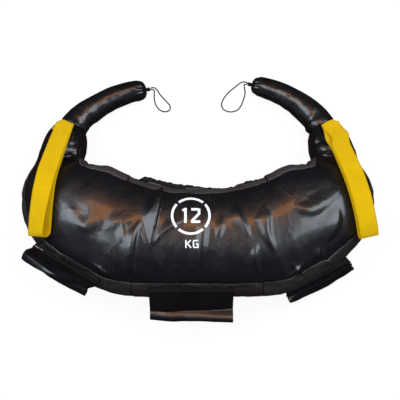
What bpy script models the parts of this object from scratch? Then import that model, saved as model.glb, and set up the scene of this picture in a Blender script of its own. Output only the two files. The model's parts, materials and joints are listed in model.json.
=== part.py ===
"""A crescent training bag: a sand-filled leather body with two stuffed horns, lying flat on its back.

Metres, +Z up. The crescent's plane is the floor: its belly points to -Y, its horns to +Y. Every skin
panel, pouch and filling is lofted through sections that stand square to one spine, which runs from
horn tip to horn tip. The origin is under the middle of the bag's box.
"""

import math
from collections import namedtuple

import bmesh
import bpy
import numpy as np
from mathutils import Matrix, Vector
from mathutils.bvhtree import BVHTree

MM = 0.001

# Sewing clearances
SEAM_GAP = 0.3 * MM  # between sewn pieces, and between a skin and what fills it

# Skin
LEATHER = 1.8 * MM

# Body: half sizes at the middle of the belly, and how far the spine reaches to a lobe
BELLY_HALF_DEPTH = 89 * MM
BELLY_HALF_HEIGHT = 75 * MM
LOBE_REACH = 241 * MM
LOBE_RISE = 146 * MM
SETTLE = 4 * MM  # how much of the belly's height is lost to the flat that it lies on

# Horns: reach is towards the middle, rise is away from the belly, both from the shoulder's root
SHOULDER_RADIUS = 42 * MM
CUFF_RADIUS = 26.5 * MM
HORN_REACH = 145 * MM
HORN_RISE = 140 * MM
HORN_SETTLE = 1 * MM
BALL_RADIUS = 22 * MM  # round root of the grip, which turns in the cuff
BALL_CLEARANCE = 0.6 * MM
GRIP_RADIUS = 19 * MM

# Wrist loops of thin cord at the horn tips
CORD_DIAMETER = 2.2 * MM
KNOT_RADIUS = 3.6 * MM
KNOT_LENGTH = 9 * MM
KNOT_SIDES = 10
# Shares of KNOT_LENGTH, and of KNOT_RADIUS
KNOT_SHARES = (
    (0.000, 0.59), (0.167, 0.80), (0.333, 0.95), (0.500, 1.00), (0.667, 0.95), (0.833, 0.80),
    (1.000, 0.59),
)

# Hand straps of webbing on the shoulders
WEBBING = 1.6 * MM
STRAP_WIDTH = 30 * MM
STRAP_LENGTH = 226 * MM
STRAP_OPENING = 15 * MM
STRAP_BAR_TACK = 16 * MM
STRAP_OFFSET = 6 * MM  # from the crest of the shoulder to the strap's middle, outwards
STRAP_SETBACK = 9 * MM  # from the cuff's rim to the strap's hinge
STRAP_CLEARANCE = 1.2 * MM  # under the strap, which lies over its tab
STRAP_SIDE_STEPS = 28
DRAPE_ANGLES = (170, 50, -4)  # the skin's normals that a strap is laid over: first, last and step

# Hand sleeves on the outer gusset
SLEEVE_WALL = 1.8 * MM
SLEEVE_WIDTH = 134 * MM
SLEEVE_LENGTH = 72 * MM
SLEEVE_OPENING = 14 * MM
SLEEVE_HEM = 9 * MM
SLEEVE_FLOOR_GAP = 6 * MM
SLEEVE_SIDE_STEPS = 6
WELT_REACH = 1.5 * MM  # what the welt stands out from the gusset at its narrowest
WELT_STEPS = 12

# Both kinds of loop
LOOP_END_STEPS = 6
LOOP_ROOT_STEPS = 4
HEADING_SHARE = 1 / 40  # of a bent line's length, over which its heading is taken

# Filling mouth on the inner gusset
TAPE_THICKNESS = 1.2 * MM
TAPE_WIDTH = 7 * MM
LIP_MARGIN = 2.5 * MM  # what a lip stands past the tape at its narrowest
LIP_SCALLOP = 4.5 * MM  # how much further it stands between its tacks

# The spine of the right half, from the belly's middle to the shoulder's root. The shares are of
# LOBE_REACH, of LOBE_RISE, and of what belly depth and height have over the shoulder's radius.
BODY_SHARES = (
    (0.000, 0.000, 1.000, 1.000),
    (0.270, 0.014, 1.065, 1.000),
    (0.523, 0.090, 1.200, 1.000),
    (0.730, 0.262, 1.100, 0.980),
    (0.884, 0.402, 0.890, 0.900),
    (0.975, 0.560, 0.640, 0.760),
    (1.000, 0.752, 0.425, 0.480),
    (0.975, 0.985, 0.000, 0.000),
)
# The shoulder's spine: shares of HORN_REACH and HORN_RISE, from its root to the cuff, and of what
# the shoulder's radius has over the cuff's
SHOULDER_SHARES = ((0.036, 0.157, 0.800), (0.077, 0.347, 0.500), (0.135, 0.489, 0.000))
# How far each section leans from square to the floor's Y, at each row from the belly to the cuff
LEANS = (0, 3, 9, 18.5, 30, 44.5, 61.5, 83, 91.5, 103, 118.5)
# Each grip's spine: shares of HORN_REACH and HORN_RISE, from the cuff to the tip
GRIP_SPINES_SHARES = {
    "left": (
        (0.219, 0.608), (0.328, 0.709), (0.474, 0.813), (0.635, 0.899), (0.825, 0.966),
        (1.000, 1.000),
    ),
    "right": (
        (0.219, 0.616), (0.328, 0.734), (0.476, 0.855), (0.635, 0.953), (0.814, 1.030),
        (0.965, 1.070),
    ),
}
BODY_END = len(BODY_SHARES) - 1
CUFF_STATION = BODY_END + len(SHOULDER_SHARES)
TIP_STATION = CUFF_STATION + len(GRIP_SPINES_SHARES["left"])
# Each grip's radius: shares of its length, and of GRIP_RADIUS
GRIPS_SHARES = {
    "left": ((0.00, 1.18), (0.17, 1.25), (0.40, 1.12), (0.62, 1.05), (0.86, 0.98), (1.00, 0.90)),
    "right": ((0.00, 1.18), (0.17, 1.25), (0.40, 1.13), (0.62, 1.03), (0.86, 0.90), (1.00, 0.78)),
}
GRIP_MARK_SHARES = (0.12, 0.17, 0.25, 0.35, 0.46, 0.57, 0.68, 0.79)  # where its rings are
GRIP_SIDES = 16
GRIP_EASE = 0.17  # share of its length over which it comes down from the cuff to the floor
GRIP_MOUTH = 50  # degrees from the ball's back at which the grip's sleeve begins
BALL_TOP = 20  # degrees past its middle at which the ball meets the grip's waist
TIP_ANGLES = (0, 35, 62)
TIP_BLUNT_SHARE = 0.8  # of the tip's radius, how far its dome stands out

# Sections: a superellipse, with the seams between panels at these angles above and below level
SECTION_POWER = 2.3
SEAM_ANGLE = 36
RING_STEP = 18
STATION_STEP = 0.5
HEADING_STEP = 0.001  # in stations, over which the spine's heading is taken
NORMAL_STEP = 0.05  # in stations
NORMAL_TURN = 2  # in degrees
GUSSET_SEAM_STATION = 1.5  # where the outer gusset's middle piece ends
MOUTH_STATION = 2.0  # where the filling mouth ends
POUCH_STATION = 2.0  # where the middle pouch meets a side pouch
FILLING_STATION = 6.5  # where a side pouch meets the shoulder's filling

# Each hand sleeve: its middle's station, how far above level it is sewn to the gusset, how steeply
# it hangs, and its shares of SLEEVE_LENGTH and SLEEVE_WIDTH
SLEEVES_SHARES = {
    "left": (-2.80, 33, 66, 0.76, 0.90),
    "middle": (-0.15, 30, 60, 0.96, 1.00),
    "right": (2.60, -12, 89, 0.58, 0.90),
}
# Each hand strap: its side, how far it is splayed outwards, and its tab's angle on the shoulder
STRAPS = {"left": (-1, 8, 72), "right": (1, 13, 72)}
# Cord routes from the knot, in millimetres: along the horn's end, across it, and the height over
# the floor
CORD_ROUTES = {
    "left": (
        (0.0, 1.7, 16.1), (3.6, 1.9, 15.4), (7.5, 1.6, 11.5), (11.0, -2.0, 6.0), (14.3, -9.0, 2.2),
        (19.0, -16.5, 1.3), (24.0, -25.0, 1.3), (27.6, -32.0, 1.3), (26.5, -38.5, 1.3),
        (20.5, -41.5, 1.3), (13.5, -40.0, 1.3), (8.0, -35.5, 1.3), (4.2, -28.5, 1.3),
        (2.6, -20.5, 1.6), (2.8, -13.0, 4.5), (4.2, -7.5, 9.8), (5.0, -3.4, 14.0),
        (3.0, -1.8, 15.9), (0.0, -1.7, 16.1),
    ),
    "right": (
        (0.0, 1.7, 13.8), (4.0, 2.4, 13.4), (8.5, 2.2, 10.5), (13.0, 0.2, 5.5), (17.5, -4.5, 1.8),
        (22.5, -11.0, 1.3), (27.8, -19.0, 1.3), (31.8, -27.0, 1.3), (34.6, -36.0, 1.3),
        (34.8, -45.0, 1.3), (29.6, -52.0, 1.3), (20.0, -54.2, 1.3), (10.5, -51.5, 1.3),
        (3.8, -45.5, 1.3), (0.6, -36.5, 1.3), (-0.6, -27.0, 1.3), (-1.0, -18.5, 1.6),
        (0.2, -11.5, 4.6), (2.6, -6.8, 9.2), (4.2, -3.2, 12.6), (2.6, -1.8, 13.8),
        (0.0, -1.7, 13.8),
    ),
}
CORD_STEPS = 3  # points read from the smooth curve for each span of a route

SIDES = ((-1, "left"), (1, "right"))

COLOURS = {
    "leather": ((0.012, 0.012, 0.014), 0.28, 0.0),
    "pouch": ((0.55, 0.53, 0.48), 0.9, 0.0),
    "filling": ((0.72, 0.70, 0.66), 0.95, 0.0),
    "webbing": ((0.80, 0.56, 0.01), 0.75, 0.0),
    "tape": ((0.03, 0.03, 0.03), 0.85, 0.0),
    "cord": ((0.02, 0.02, 0.02), 0.6, 0.0),
}

Hinge = namedtuple("Hinge", "name place axis pieces")


def clear_scene():
    """Removes whatever the scene holds."""
    for old in list(bpy.data.objects):
        bpy.data.objects.remove(old)


def material(name):
    """The named material, made once."""
    found = bpy.data.materials.get(name)
    if found:
        return found
    colour, roughness, metallic = COLOURS[name]
    made = bpy.data.materials.new(name)
    made.use_nodes = True
    shader = made.node_tree.nodes["Principled BSDF"]
    shader.inputs["Base Color"].default_value = (*colour, 1)
    shader.inputs["Roughness"].default_value = roughness
    shader.inputs["Metallic"].default_value = metallic
    return made


def finish_mesh(name, mesh_builder, finish, smooth_angle=40):
    """Turns a closed bmesh into a named object with its material."""
    bmesh.ops.recalc_face_normals(mesh_builder, faces=mesh_builder.faces)
    mesh = bpy.data.meshes.new(name)
    mesh_builder.to_mesh(mesh)
    mesh_builder.free()
    mesh.materials.append(material(finish))
    mesh.shade_smooth()
    mesh.set_sharp_from_angle(angle=math.radians(smooth_angle))
    made = bpy.data.objects.new(name, mesh)
    bpy.context.scene.collection.objects.link(made)
    return made


def smooth_through(rows, place):
    """The point at `place` (a whole number is a row) on a smooth curve through the rows."""
    rows = np.asarray(rows, float)
    place = min(max(place, 0), len(rows) - 1)
    first = min(int(place), len(rows) - 2)
    share = place - first
    before = rows[first - 1] if first else 2 * rows[0] - rows[1]
    after = rows[first + 2] if first + 2 < len(rows) else 2 * rows[-1] - rows[-2]
    start, end = rows[first], rows[first + 1]
    rise, fall = (end - before) / 2, (after - start) / 2
    square, cube = share**2, share**3
    return (
        (2 * cube - 3 * square + 1) * start
        + (cube - 2 * square + share) * rise
        + (3 * square - 2 * cube) * end
        + (cube - square) * fall
    )


def spine_rows(label):
    """(x, y, half depth, half height) at each whole station of one half, as if it were the right."""
    depth_over = BELLY_HALF_DEPTH - SHOULDER_RADIUS
    height_over = BELLY_HALF_HEIGHT - SHOULDER_RADIUS
    rows = [
        (across * LOBE_REACH, along * LOBE_RISE, SHOULDER_RADIUS + deep * depth_over,
         SHOULDER_RADIUS + high * height_over)
        for across, along, deep, high in BODY_SHARES
    ]
    root_x, root_y = rows[-1][:2]
    for inwards, along, wide in SHOULDER_SHARES:
        radius = CUFF_RADIUS + (SHOULDER_RADIUS - CUFF_RADIUS) * wide
        rows.append((root_x - inwards * HORN_REACH, root_y + along * HORN_RISE, radius, radius))
    for inwards, along in GRIP_SPINES_SHARES[label]:
        x, y = root_x - inwards * HORN_REACH, root_y + along * HORN_RISE
        rows.append((x, y, CUFF_RADIUS, CUFF_RADIUS))
    return rows


LEFT_ROWS = [(-x, y, depth, height) for x, y, depth, height in spine_rows("left")]
SPINE_ROWS = LEFT_ROWS[:0:-1] + spine_rows("right")
LEAN_ROWS = [(-lean,) for lean in LEANS[:0:-1]] + [(lean,) for lean in LEANS]


def spine(station):
    """(point, half depth, half height) at a signed station: 0 is the belly's middle, + is right."""
    x, y, depth, height = smooth_through(SPINE_ROWS, station + TIP_STATION)
    return Vector((x, y, 0)), depth, height


def outward_at(station):
    """The level direction that a section faces: by its lean, and square to the spine in a grip."""
    if abs(station) <= CUFF_STATION:
        lean = math.radians(smooth_through(LEAN_ROWS, station + CUFF_STATION)[0])
        return Vector((math.sin(lean), -math.cos(lean), 0))
    ahead, behind = spine(station + HEADING_STEP)[0], spine(station - HEADING_STEP)[0]
    tangent = (ahead - behind).normalized()
    return Vector((tangent.y, -tangent.x, 0))


def frame_at(station):
    """(point, tangent to the right, outward normal, half depth, half height) of a section."""
    point, depth, height = spine(station)
    outward = outward_at(station)
    return point, Vector((-outward.y, outward.x, 0)), outward, depth, height


def settle_at(station):
    """How far the section sinks into its flat: SETTLE in the body, HORN_SETTLE in the horns."""
    share = min(max((BODY_END - abs(station)) / BODY_END, 0), 1)
    return HORN_SETTLE + (SETTLE - HORN_SETTLE) * min(2 * share, 1)


def skin_point(station, degrees):
    """A point of the outer skin. 0 degrees is level outwards, 90 is up, 180 is level inwards."""
    point, _, outward, depth, height = frame_at(station)
    cosine, sine = math.cos(math.radians(degrees)), math.sin(math.radians(degrees))
    power = 2 / SECTION_POWER
    out = depth * math.copysign(abs(cosine) ** power, cosine)
    up = height * math.copysign(abs(sine) ** power, sine)
    level = height - settle_at(station)
    return point + outward * out + Vector((0, 0, max(level + up, 0)))


def skin_normal(station, degrees):
    """The outer skin's unit normal there."""
    above, below = degrees + NORMAL_TURN, degrees - NORMAL_TURN
    round_it = skin_point(station, above) - skin_point(station, below)
    ahead, behind = station + NORMAL_STEP, station - NORMAL_STEP
    along_it = skin_point(ahead, degrees) - skin_point(behind, degrees)
    normal = along_it.cross(round_it)
    return normal.normalized() if normal.length else Vector((0, 0, -1))


def skin_row(station, angles, inset, shift=0.0):
    """Points of one section, sunk by inset under the skin and shifted along the spine."""
    tangent = frame_at(station)[1]
    return [
        skin_point(station, angle) - skin_normal(station, angle) * inset + tangent * shift
        for angle in angles
    ]


def add_grid(mesh_builder, rows, closed):
    """Triangles through rows of vertices, all split along the same diagonal."""
    for near, far in zip(rows, rows[1:]):
        count = len(near)
        for index in range(count if closed else count - 1):
            following = (index + 1) % count
            corners = near[index], near[following], far[following], far[index]
            mesh_builder.faces.new((corners[0], corners[1], corners[2]))
            mesh_builder.faces.new((corners[0], corners[2], corners[3]))


def add_points(mesh_builder, rows):
    """New vertices at rows of points."""
    return [[mesh_builder.verts.new(point) for point in row] for row in rows]


def sheet_solid(name, outer, inner, finish):
    """A thin closed solid between two grids of points with the same rows and columns."""
    mesh_builder = bmesh.new()
    top, bottom = add_points(mesh_builder, outer), add_points(mesh_builder, inner)
    add_grid(mesh_builder, top, False)
    add_grid(mesh_builder, bottom, False)
    add_grid(mesh_builder, [top[0], bottom[0]], False)
    add_grid(mesh_builder, [top[-1], bottom[-1]], False)
    add_grid(mesh_builder, [[row[0] for row in top], [row[0] for row in bottom]], False)
    add_grid(mesh_builder, [[row[-1] for row in top], [row[-1] for row in bottom]], False)
    return finish_mesh(name, mesh_builder, finish)


def loft_solid(name, rings, finish):
    """A closed solid through rings of points, with a fan at each end."""
    mesh_builder = bmesh.new()
    rows = add_points(mesh_builder, rings)
    add_grid(mesh_builder, rows, True)
    for ring in (rings[0], rings[-1]):
        row = rows[0] if ring is rings[0] else rows[-1]
        hub = mesh_builder.verts.new(sum(ring, Vector()) / len(ring))
        for index in range(len(row)):
            mesh_builder.faces.new((row[index], row[(index + 1) % len(row)], hub))
    return finish_mesh(name, mesh_builder, finish)


def tube_solid(name, outer, inner, finish, closed_end=False):
    """A tube's wall between outer and inner rings, open at both ends or closed at its far end."""
    mesh_builder = bmesh.new()
    outside, inside = add_points(mesh_builder, outer), add_points(mesh_builder, inner)
    add_grid(mesh_builder, outside, True)
    add_grid(mesh_builder, inside, True)
    add_grid(mesh_builder, [outside[0], inside[0]], True)
    if not closed_end:
        add_grid(mesh_builder, [outside[-1], inside[-1]], True)
    else:
        for rings, rows in ((outer, outside), (inner, inside)):
            hub = mesh_builder.verts.new(sum(rings[-1], Vector()) / len(rings[-1]))
            for index in range(len(rows[-1])):
                mesh_builder.faces.new((rows[-1][index], rows[-1][(index + 1) % len(rows[-1])], hub))
    return finish_mesh(name, mesh_builder, finish)


def extruded_solid(name, loops, width, placing, finish):
    """A flat profile with its holes, filled and extruded both ways from its plane, then placed."""
    mesh_builder = bmesh.new()
    for loop in loops:
        corners = [mesh_builder.verts.new((u, -width / 2, v)) for u, v in loop]
        for index, corner in enumerate(corners):
            mesh_builder.edges.new((corner, corners[(index + 1) % len(corners)]))
    bmesh.ops.triangle_fill(mesh_builder, edges=mesh_builder.edges[:], use_beauty=True)
    filled = bmesh.ops.extrude_face_region(mesh_builder, geom=mesh_builder.faces[:])
    moved = [item for item in filled["geom"] if isinstance(item, bmesh.types.BMVert)]
    bmesh.ops.translate(mesh_builder, verts=moved, vec=(0, width, 0))
    made = finish_mesh(name, mesh_builder, finish)
    made.matrix_world = placing
    return made


def steps_between(first, last, step):
    """Evenly spaced values from first to last, about a step apart."""
    count = max(round((last - first) / step), 1)
    return [first + (last - first) * index / count for index in range(count + 1)]


# Panels and pouches of the body


def seam_trimmed(angles, station):
    """Section angles whose two ends stand half a seam's gap back from the seams."""
    trim = math.degrees(SEAM_GAP / 2 / frame_at(station)[4])
    return [angles[0] + trim, *angles[1:-1], angles[-1] - trim]


def panel(name, first_station, last_station, first_angle, last_angle):
    """A leather panel of the body, between two stations and two section angles."""
    angles = steps_between(first_angle, last_angle, RING_STEP)
    stations = steps_between(first_station, last_station, STATION_STEP)
    shifts = [SEAM_GAP / 2, *[0.0] * (len(stations) - 2), -SEAM_GAP / 2]
    grids = [
        [skin_row(station, seam_trimmed(angles, station), inset, shift)
         for station, shift in zip(stations, shifts)]
        for inset in (0.0, LEATHER)
    ]
    return sheet_solid(name, *grids, "leather")


def body_panels():
    """The front and back panels and the two gussets between them."""
    seam, end = SEAM_ANGLE, BODY_END
    panel("front_panel", -end, end, seam, 180 - seam)
    panel("back_panel", -end, end, 180 + seam, 360 - seam)
    panel("outer_gusset_left", -end, -GUSSET_SEAM_STATION, -seam, seam)
    panel("outer_gusset_middle", -GUSSET_SEAM_STATION, GUSSET_SEAM_STATION, -seam, seam)
    panel("outer_gusset_right", GUSSET_SEAM_STATION, end, -seam, seam)
    panel("inner_gusset_left", -end, -MOUTH_STATION, 180 - seam, 180 + seam)
    panel("inner_gusset_right", MOUTH_STATION, end, 180 - seam, 180 + seam)


def filled_length(name, first_station, last_station, finish):
    """A stuffed length of the body, one gap under its skin."""
    angles = steps_between(0, 360, RING_STEP)[:-1]
    stations = steps_between(first_station, last_station, STATION_STEP)
    shifts = [SEAM_GAP, *[0.0] * (len(stations) - 2), -SEAM_GAP]
    inset = LEATHER + SEAM_GAP
    rings = [skin_row(station, angles, inset, shift) for station, shift in zip(stations, shifts)]
    return loft_solid(name, rings, finish)


def sand_pouches():
    """Three sand pouches, end to end."""
    filled_length("sand_pouch_left", -FILLING_STATION, -POUCH_STATION, "pouch")
    filled_length("sand_pouch_middle", -POUCH_STATION, POUCH_STATION, "pouch")
    filled_length("sand_pouch_right", POUCH_STATION, FILLING_STATION, "pouch")


# The filling mouth: two lips on the inner gusset, held shut by hook and loop tape


def tape_stack():
    """Half the space between the lips: two tapes and the three gaps round them."""
    return (2 * TAPE_THICKNESS + 3 * SEAM_GAP) / 2


def lip_reaches(count, front):
    """How far a lip stands from the gusset at each row: past the tape, and in scallops.

    Both lips are tacked down at their ends, and in between each stands out where the other doesn't.
    """
    low = TAPE_WIDTH + LIP_MARGIN
    reaches = [low + LIP_SCALLOP * ((number + 1 - front) % 2) for number in range(count)]
    return [low, *reaches[1:-1], low]


def lip_rows(station, reach, front, shift):
    """(outer row, inner row) of a lip's section: the strip of gusset, and the lip standing out."""
    sign = 1 if front else -1
    point, tangent, outward, depth, height = frame_at(station)
    level = height - settle_at(station)
    trim = math.degrees(SEAM_GAP / 2 / height)
    angles = [180 - sign * (SEAM_ANGLE - trim), 180 - sign * SEAM_ANGLE / 2]
    outer = skin_row(station, angles, 0.0)
    inner = skin_row(station, angles, LEATHER)
    top = level + sign * (tape_stack() + LEATHER)
    under = level + sign * tape_stack()
    for out, up, row in (
        (depth, top, outer), (depth + reach, top, outer),
        (depth - LEATHER, under, inner), (depth + reach, under, inner),
    ):
        row.append(point - outward * out + Vector((0, 0, up)))
    return [p + tangent * shift for p in outer], [p + tangent * shift for p in inner]


def mouth_lip(name, front):
    """One lip along the filling mouth, scalloped where the other one is tacked to it."""
    stations = steps_between(-MOUTH_STATION, MOUTH_STATION, STATION_STEP)
    shifts = [SEAM_GAP / 2, *[0.0] * (len(stations) - 2), -SEAM_GAP / 2]
    reaches = lip_reaches(len(stations), front)
    rows = [lip_rows(*place, front, shift) for *place, shift in zip(stations, reaches, shifts)]
    return sheet_solid(name, [outer for outer, _ in rows], [inner for _, inner in rows], "leather")


def mouth_tape(name, front):
    """A strip of hook or loop tape on the inside of a lip."""
    sign = 1 if front else -1
    end = MOUTH_STATION - STATION_STEP / 2
    near, far = sign * (SEAM_GAP / 2), sign * (SEAM_GAP / 2 + TAPE_THICKNESS)
    grids = []
    for up in (far, near):
        rows = []
        for station in steps_between(-end, end, STATION_STEP):
            point, _, outward, depth, height = frame_at(station)
            level = height - settle_at(station) + up
            rows.append([
                point - outward * (depth + out) + Vector((0, 0, level))
                for out in (0.0, TAPE_WIDTH)
            ])
        grids.append(rows)
    return sheet_solid(name, *grids, "tape")


def filling_mouth():
    """The mouth's two lips and two tapes."""
    mouth_lip("mouth_lip_front", True)
    mouth_lip("mouth_lip_back", False)
    mouth_tape("mouth_hook_tape", True)
    mouth_tape("mouth_loop_tape", False)


# Horns: a shoulder and its cuff, and a grip whose round root turns in the cuff


def cuff_frame(side):
    """(centre of the cuff's rim, direction along the horn to its tip)."""
    station = side * CUFF_STATION
    point, tangent, _, _, height = frame_at(station)
    return point + Vector((0, 0, height - settle_at(station))), tangent * side


def ring_round(centre, along, radius, count, floor=True):
    """A ring of points square to a level direction, flattened where it meets the floor."""
    across = Vector((along.y, -along.x, 0))
    ring = []
    for index in range(count):
        turn = 2 * math.pi * index / count
        point = centre + across * (radius * math.cos(turn)) + Vector((0, 0, radius * math.sin(turn)))
        if floor:
            point.z = max(point.z, 0)
        ring.append(point)
    return ring


def shoulder_rings(side, inset, first, last):
    """Rings of the shoulder from the body to the cuff's rim, sunk by inset."""
    angles = steps_between(0, 360, RING_STEP)[:-1]
    stations = steps_between(first, last, STATION_STEP)
    return [skin_row(side * station, angles, inset) for station in stations]


def left_to_right(side, rings):
    """Rings built outwards, turned round on the left, so that both sides' facets split alike."""
    return rings if side > 0 else rings[::-1]


def shift_ring(ring, vector):
    """The ring moved by a vector."""
    return [point + vector for point in ring]


def shoulder(side, label):
    """The shoulder's leather sleeve, and the filling that ends in a bowl for the grip."""
    inward = frame_at(side * BODY_END)[1] * side
    walls = []
    for inset in (0.0, LEATHER):
        rings = shoulder_rings(side, inset, BODY_END, CUFF_STATION)
        rings[0] = shift_ring(rings[0], inward * (SEAM_GAP / 2))
        walls.append(left_to_right(side, rings))
    tube_solid(f"shoulder_sleeve_{label}", *walls, "leather")

    centre, along = cuff_frame(side)
    filling = shoulder_rings(side, LEATHER + SEAM_GAP, FILLING_STATION, CUFF_STATION)
    filling[0] = shift_ring(filling[0], frame_at(side * FILLING_STATION)[1] * (side * SEAM_GAP))
    bowl = BALL_RADIUS + BALL_CLEARANCE
    count = len(filling[0])
    for degrees in steps_between(90, RING_STEP, -RING_STEP):
        sine, cosine = math.sin(math.radians(degrees)), math.cos(math.radians(degrees))
        ring = ring_round(centre - along * (bowl * cosine), along * side, bowl * sine, count, False)
        filling.append(ring)
    loft_solid(f"shoulder_filling_{label}", left_to_right(side, filling), "filling")


def grip_line(side):
    """(points along the grip's spine on the floor plane, their distance from the cuff's rim)."""
    stations = steps_between(CUFF_STATION, TIP_STATION, STATION_STEP / 2)
    points = [spine(side * station)[0] for station in stations]
    lengths = [0.0]
    for before, after in zip(points, points[1:]):
        lengths.append(lengths[-1] + (after - before).length)
    return points, lengths


def grip_radius(side, share):
    """The grip's radius at a share of its length, from GRIPS_SHARES."""
    shares, radii = zip(*GRIPS_SHARES["right" if side > 0 else "left"])
    return GRIP_RADIUS * float(np.interp(share, shares, radii))


def grip_rings(side, inset, start_degrees):
    """Rings of the grip from its ball to its rounded tip, sunk by inset."""
    centre, along = cuff_frame(side)
    _, lengths = grip_line(side)
    total = lengths[-1]
    ball = BALL_RADIUS - inset
    rings = []
    for degrees in steps_between(start_degrees, 90 + BALL_TOP, RING_STEP):
        sine, cosine = math.sin(math.radians(degrees)), math.cos(math.radians(degrees))
        middle = centre - along * (ball * cosine)
        rings.append(ring_round(middle, along, ball * sine, GRIP_SIDES))
    ball_height = BALL_RADIUS * math.sin(math.radians(BALL_TOP))
    tip = grip_radius(side, 1)
    marks = [share * total for share in GRIP_MARK_SHARES]
    for mark in marks:
        if mark <= ball_height or mark >= total - tip:
            continue
        rings.append(grip_ring(side, lengths, mark, grip_radius(side, mark / total) - inset))
    for degrees in TIP_ANGLES:
        sine, cosine = math.sin(math.radians(degrees)), math.cos(math.radians(degrees))
        mark = total - tip * TIP_BLUNT_SHARE * (1 - sine) - inset * sine
        rings.append(grip_ring(side, lengths, mark, (tip - inset) * cosine))
    return rings


def grip_ring(side, lengths, mark, radius):
    """One ring of the grip at a distance along its spine, lying on the floor."""
    centre, _ = cuff_frame(side)
    stations = steps_between(CUFF_STATION, TIP_STATION, STATION_STEP / 2)
    station = float(np.interp(mark, lengths, stations))
    point, tangent = frame_at(side * station)[:2]
    share = mark / lengths[-1]
    rest = grip_radius(side, share) - HORN_SETTLE
    ease = min(share / GRIP_EASE, 1)
    up = centre.z + (rest - centre.z) * ease
    return ring_round(point + Vector((0, 0, up)), tangent * side, radius, GRIP_SIDES)


def grip(side, label):
    """The grip's leather sleeve, closed at the tip, and its filling."""
    walls = [grip_rings(side, inset, GRIP_MOUTH) for inset in (0.0, LEATHER)]
    sleeve = tube_solid(f"grip_sleeve_{label}", *walls, "leather", closed_end=True)
    rings = grip_rings(side, LEATHER + SEAM_GAP, RING_STEP)
    return [sleeve, loft_solid(f"grip_filling_{label}", rings, "filling")]


def tip_frame(side):
    """(the tip's outermost point, direction out of the horn)."""
    points, _ = grip_line(side)
    tangent = frame_at(side * TIP_STATION)[1] * side
    tip = grip_radius(side, 1)
    blunted = tip * TIP_BLUNT_SHARE * (1 - math.sin(math.radians(TIP_ANGLES[-1])))
    return points[-1] - tangent * blunted + Vector((0, 0, tip - HORN_SETTLE)), tangent


# Wrist loops at the tips


def turned_solid(name, profile, centre, along, count, finish):
    """A body of revolution: (distance along, radius) pairs about a level axis."""
    rings = [ring_round(centre + along * out, along, radius, count, False) for out, radius in profile]
    return loft_solid(name, rings, finish)


def tip_knot(side, label):
    """The knot that holds the wrist loop's two ends at the horn's tip."""
    centre, along = tip_frame(side)
    profile = [(KNOT_LENGTH * out, KNOT_RADIUS * wide) for out, wide in KNOT_SHARES]
    start = centre + along * SEAM_GAP
    return turned_solid(f"tip_knot_{label}", profile, start, along, KNOT_SIDES, "cord")


def cord_points(side, label):
    """The wrist loop's route, read from a smooth curve through its own points."""
    end, along = tip_knot_end(side)
    across = along.cross(Vector((0, 0, 1))) * side
    rows = []
    for out, aside, up in CORD_ROUTES[label]:
        point = end + along * (out * MM + SEAM_GAP) + across * (aside * MM)
        rows.append((point.x, point.y, up * MM))
    count = (len(rows) - 1) * CORD_STEPS
    return [smooth_through(rows, index / CORD_STEPS) for index in range(count + 1)]


def tip_knot_end(side):
    """(where the wrist loop leaves its knot, direction out of the horn)."""
    centre, along = tip_frame(side)
    return centre + along * (SEAM_GAP + KNOT_LENGTH), along


def wrist_cord(side, label):
    """The wrist loop of thin cord, lying on the floor."""
    points = cord_points(side, label)
    data = bpy.data.curves.new(f"wrist_cord_{label}", "CURVE")
    data.dimensions = "3D"
    data.bevel_depth = CORD_DIAMETER / 2
    data.bevel_resolution = 2
    data.use_fill_caps = True
    line = data.splines.new("POLY")
    line.points.add(len(points) - 1)
    for target, point in zip(line.points, points):
        target.co = (*point, 1)
    data.materials.append(material("cord"))
    made = bpy.data.objects.new(f"wrist_cord_{label}", data)
    bpy.context.scene.collection.objects.link(made)
    return made


# Loops of webbing and leather: a flat profile round a hand opening, extruded to the loop's width


def support(points, degrees):
    """The point of a flat cloud that lies furthest in a direction."""
    direction = np.array((math.cos(math.radians(degrees)), math.sin(math.radians(degrees))))
    return points[int(np.argmax(points @ direction))] + direction * 0, direction


def envelope(points, first, last, step, clearance):
    """The cloud's convex outline between two normal directions, standing off by a clearance."""
    path = []
    for degrees in steps_between(first, last, step):
        corner, direction = support(points, degrees)
        path.append(corner + direction * clearance)
    return path


def thinned(path, least):
    """The path without points that follow another by less than a least distance."""
    kept = [path[0]]
    for point in path[1:]:
        if np.linalg.norm(point - kept[-1]) >= least:
            kept.append(point)
    return kept


def from_forward(path):
    """The path from where it first crosses zero, forwards."""
    ahead = next(index for index, point in enumerate(path) if point[0] > 0)
    if ahead == 0:
        return path
    before, after = path[ahead - 1], path[ahead]
    share = -before[0] / (after[0] - before[0])
    return [before + (after - before) * share, *path[ahead:]]


def cut_to_length(path, length):
    """The path cut, or carried on straight, to a length."""
    kept, left = [path[0]], length
    for before, after in zip(path, path[1:]):
        span = np.linalg.norm(after - before)
        if span >= left:
            return [*kept, before + (after - before) * (left / span)]
        kept.append(after)
        left -= span
    heading = (path[-1] - path[-2]) / np.linalg.norm(path[-1] - path[-2])
    return [*kept, path[-1] + heading * left]


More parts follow.
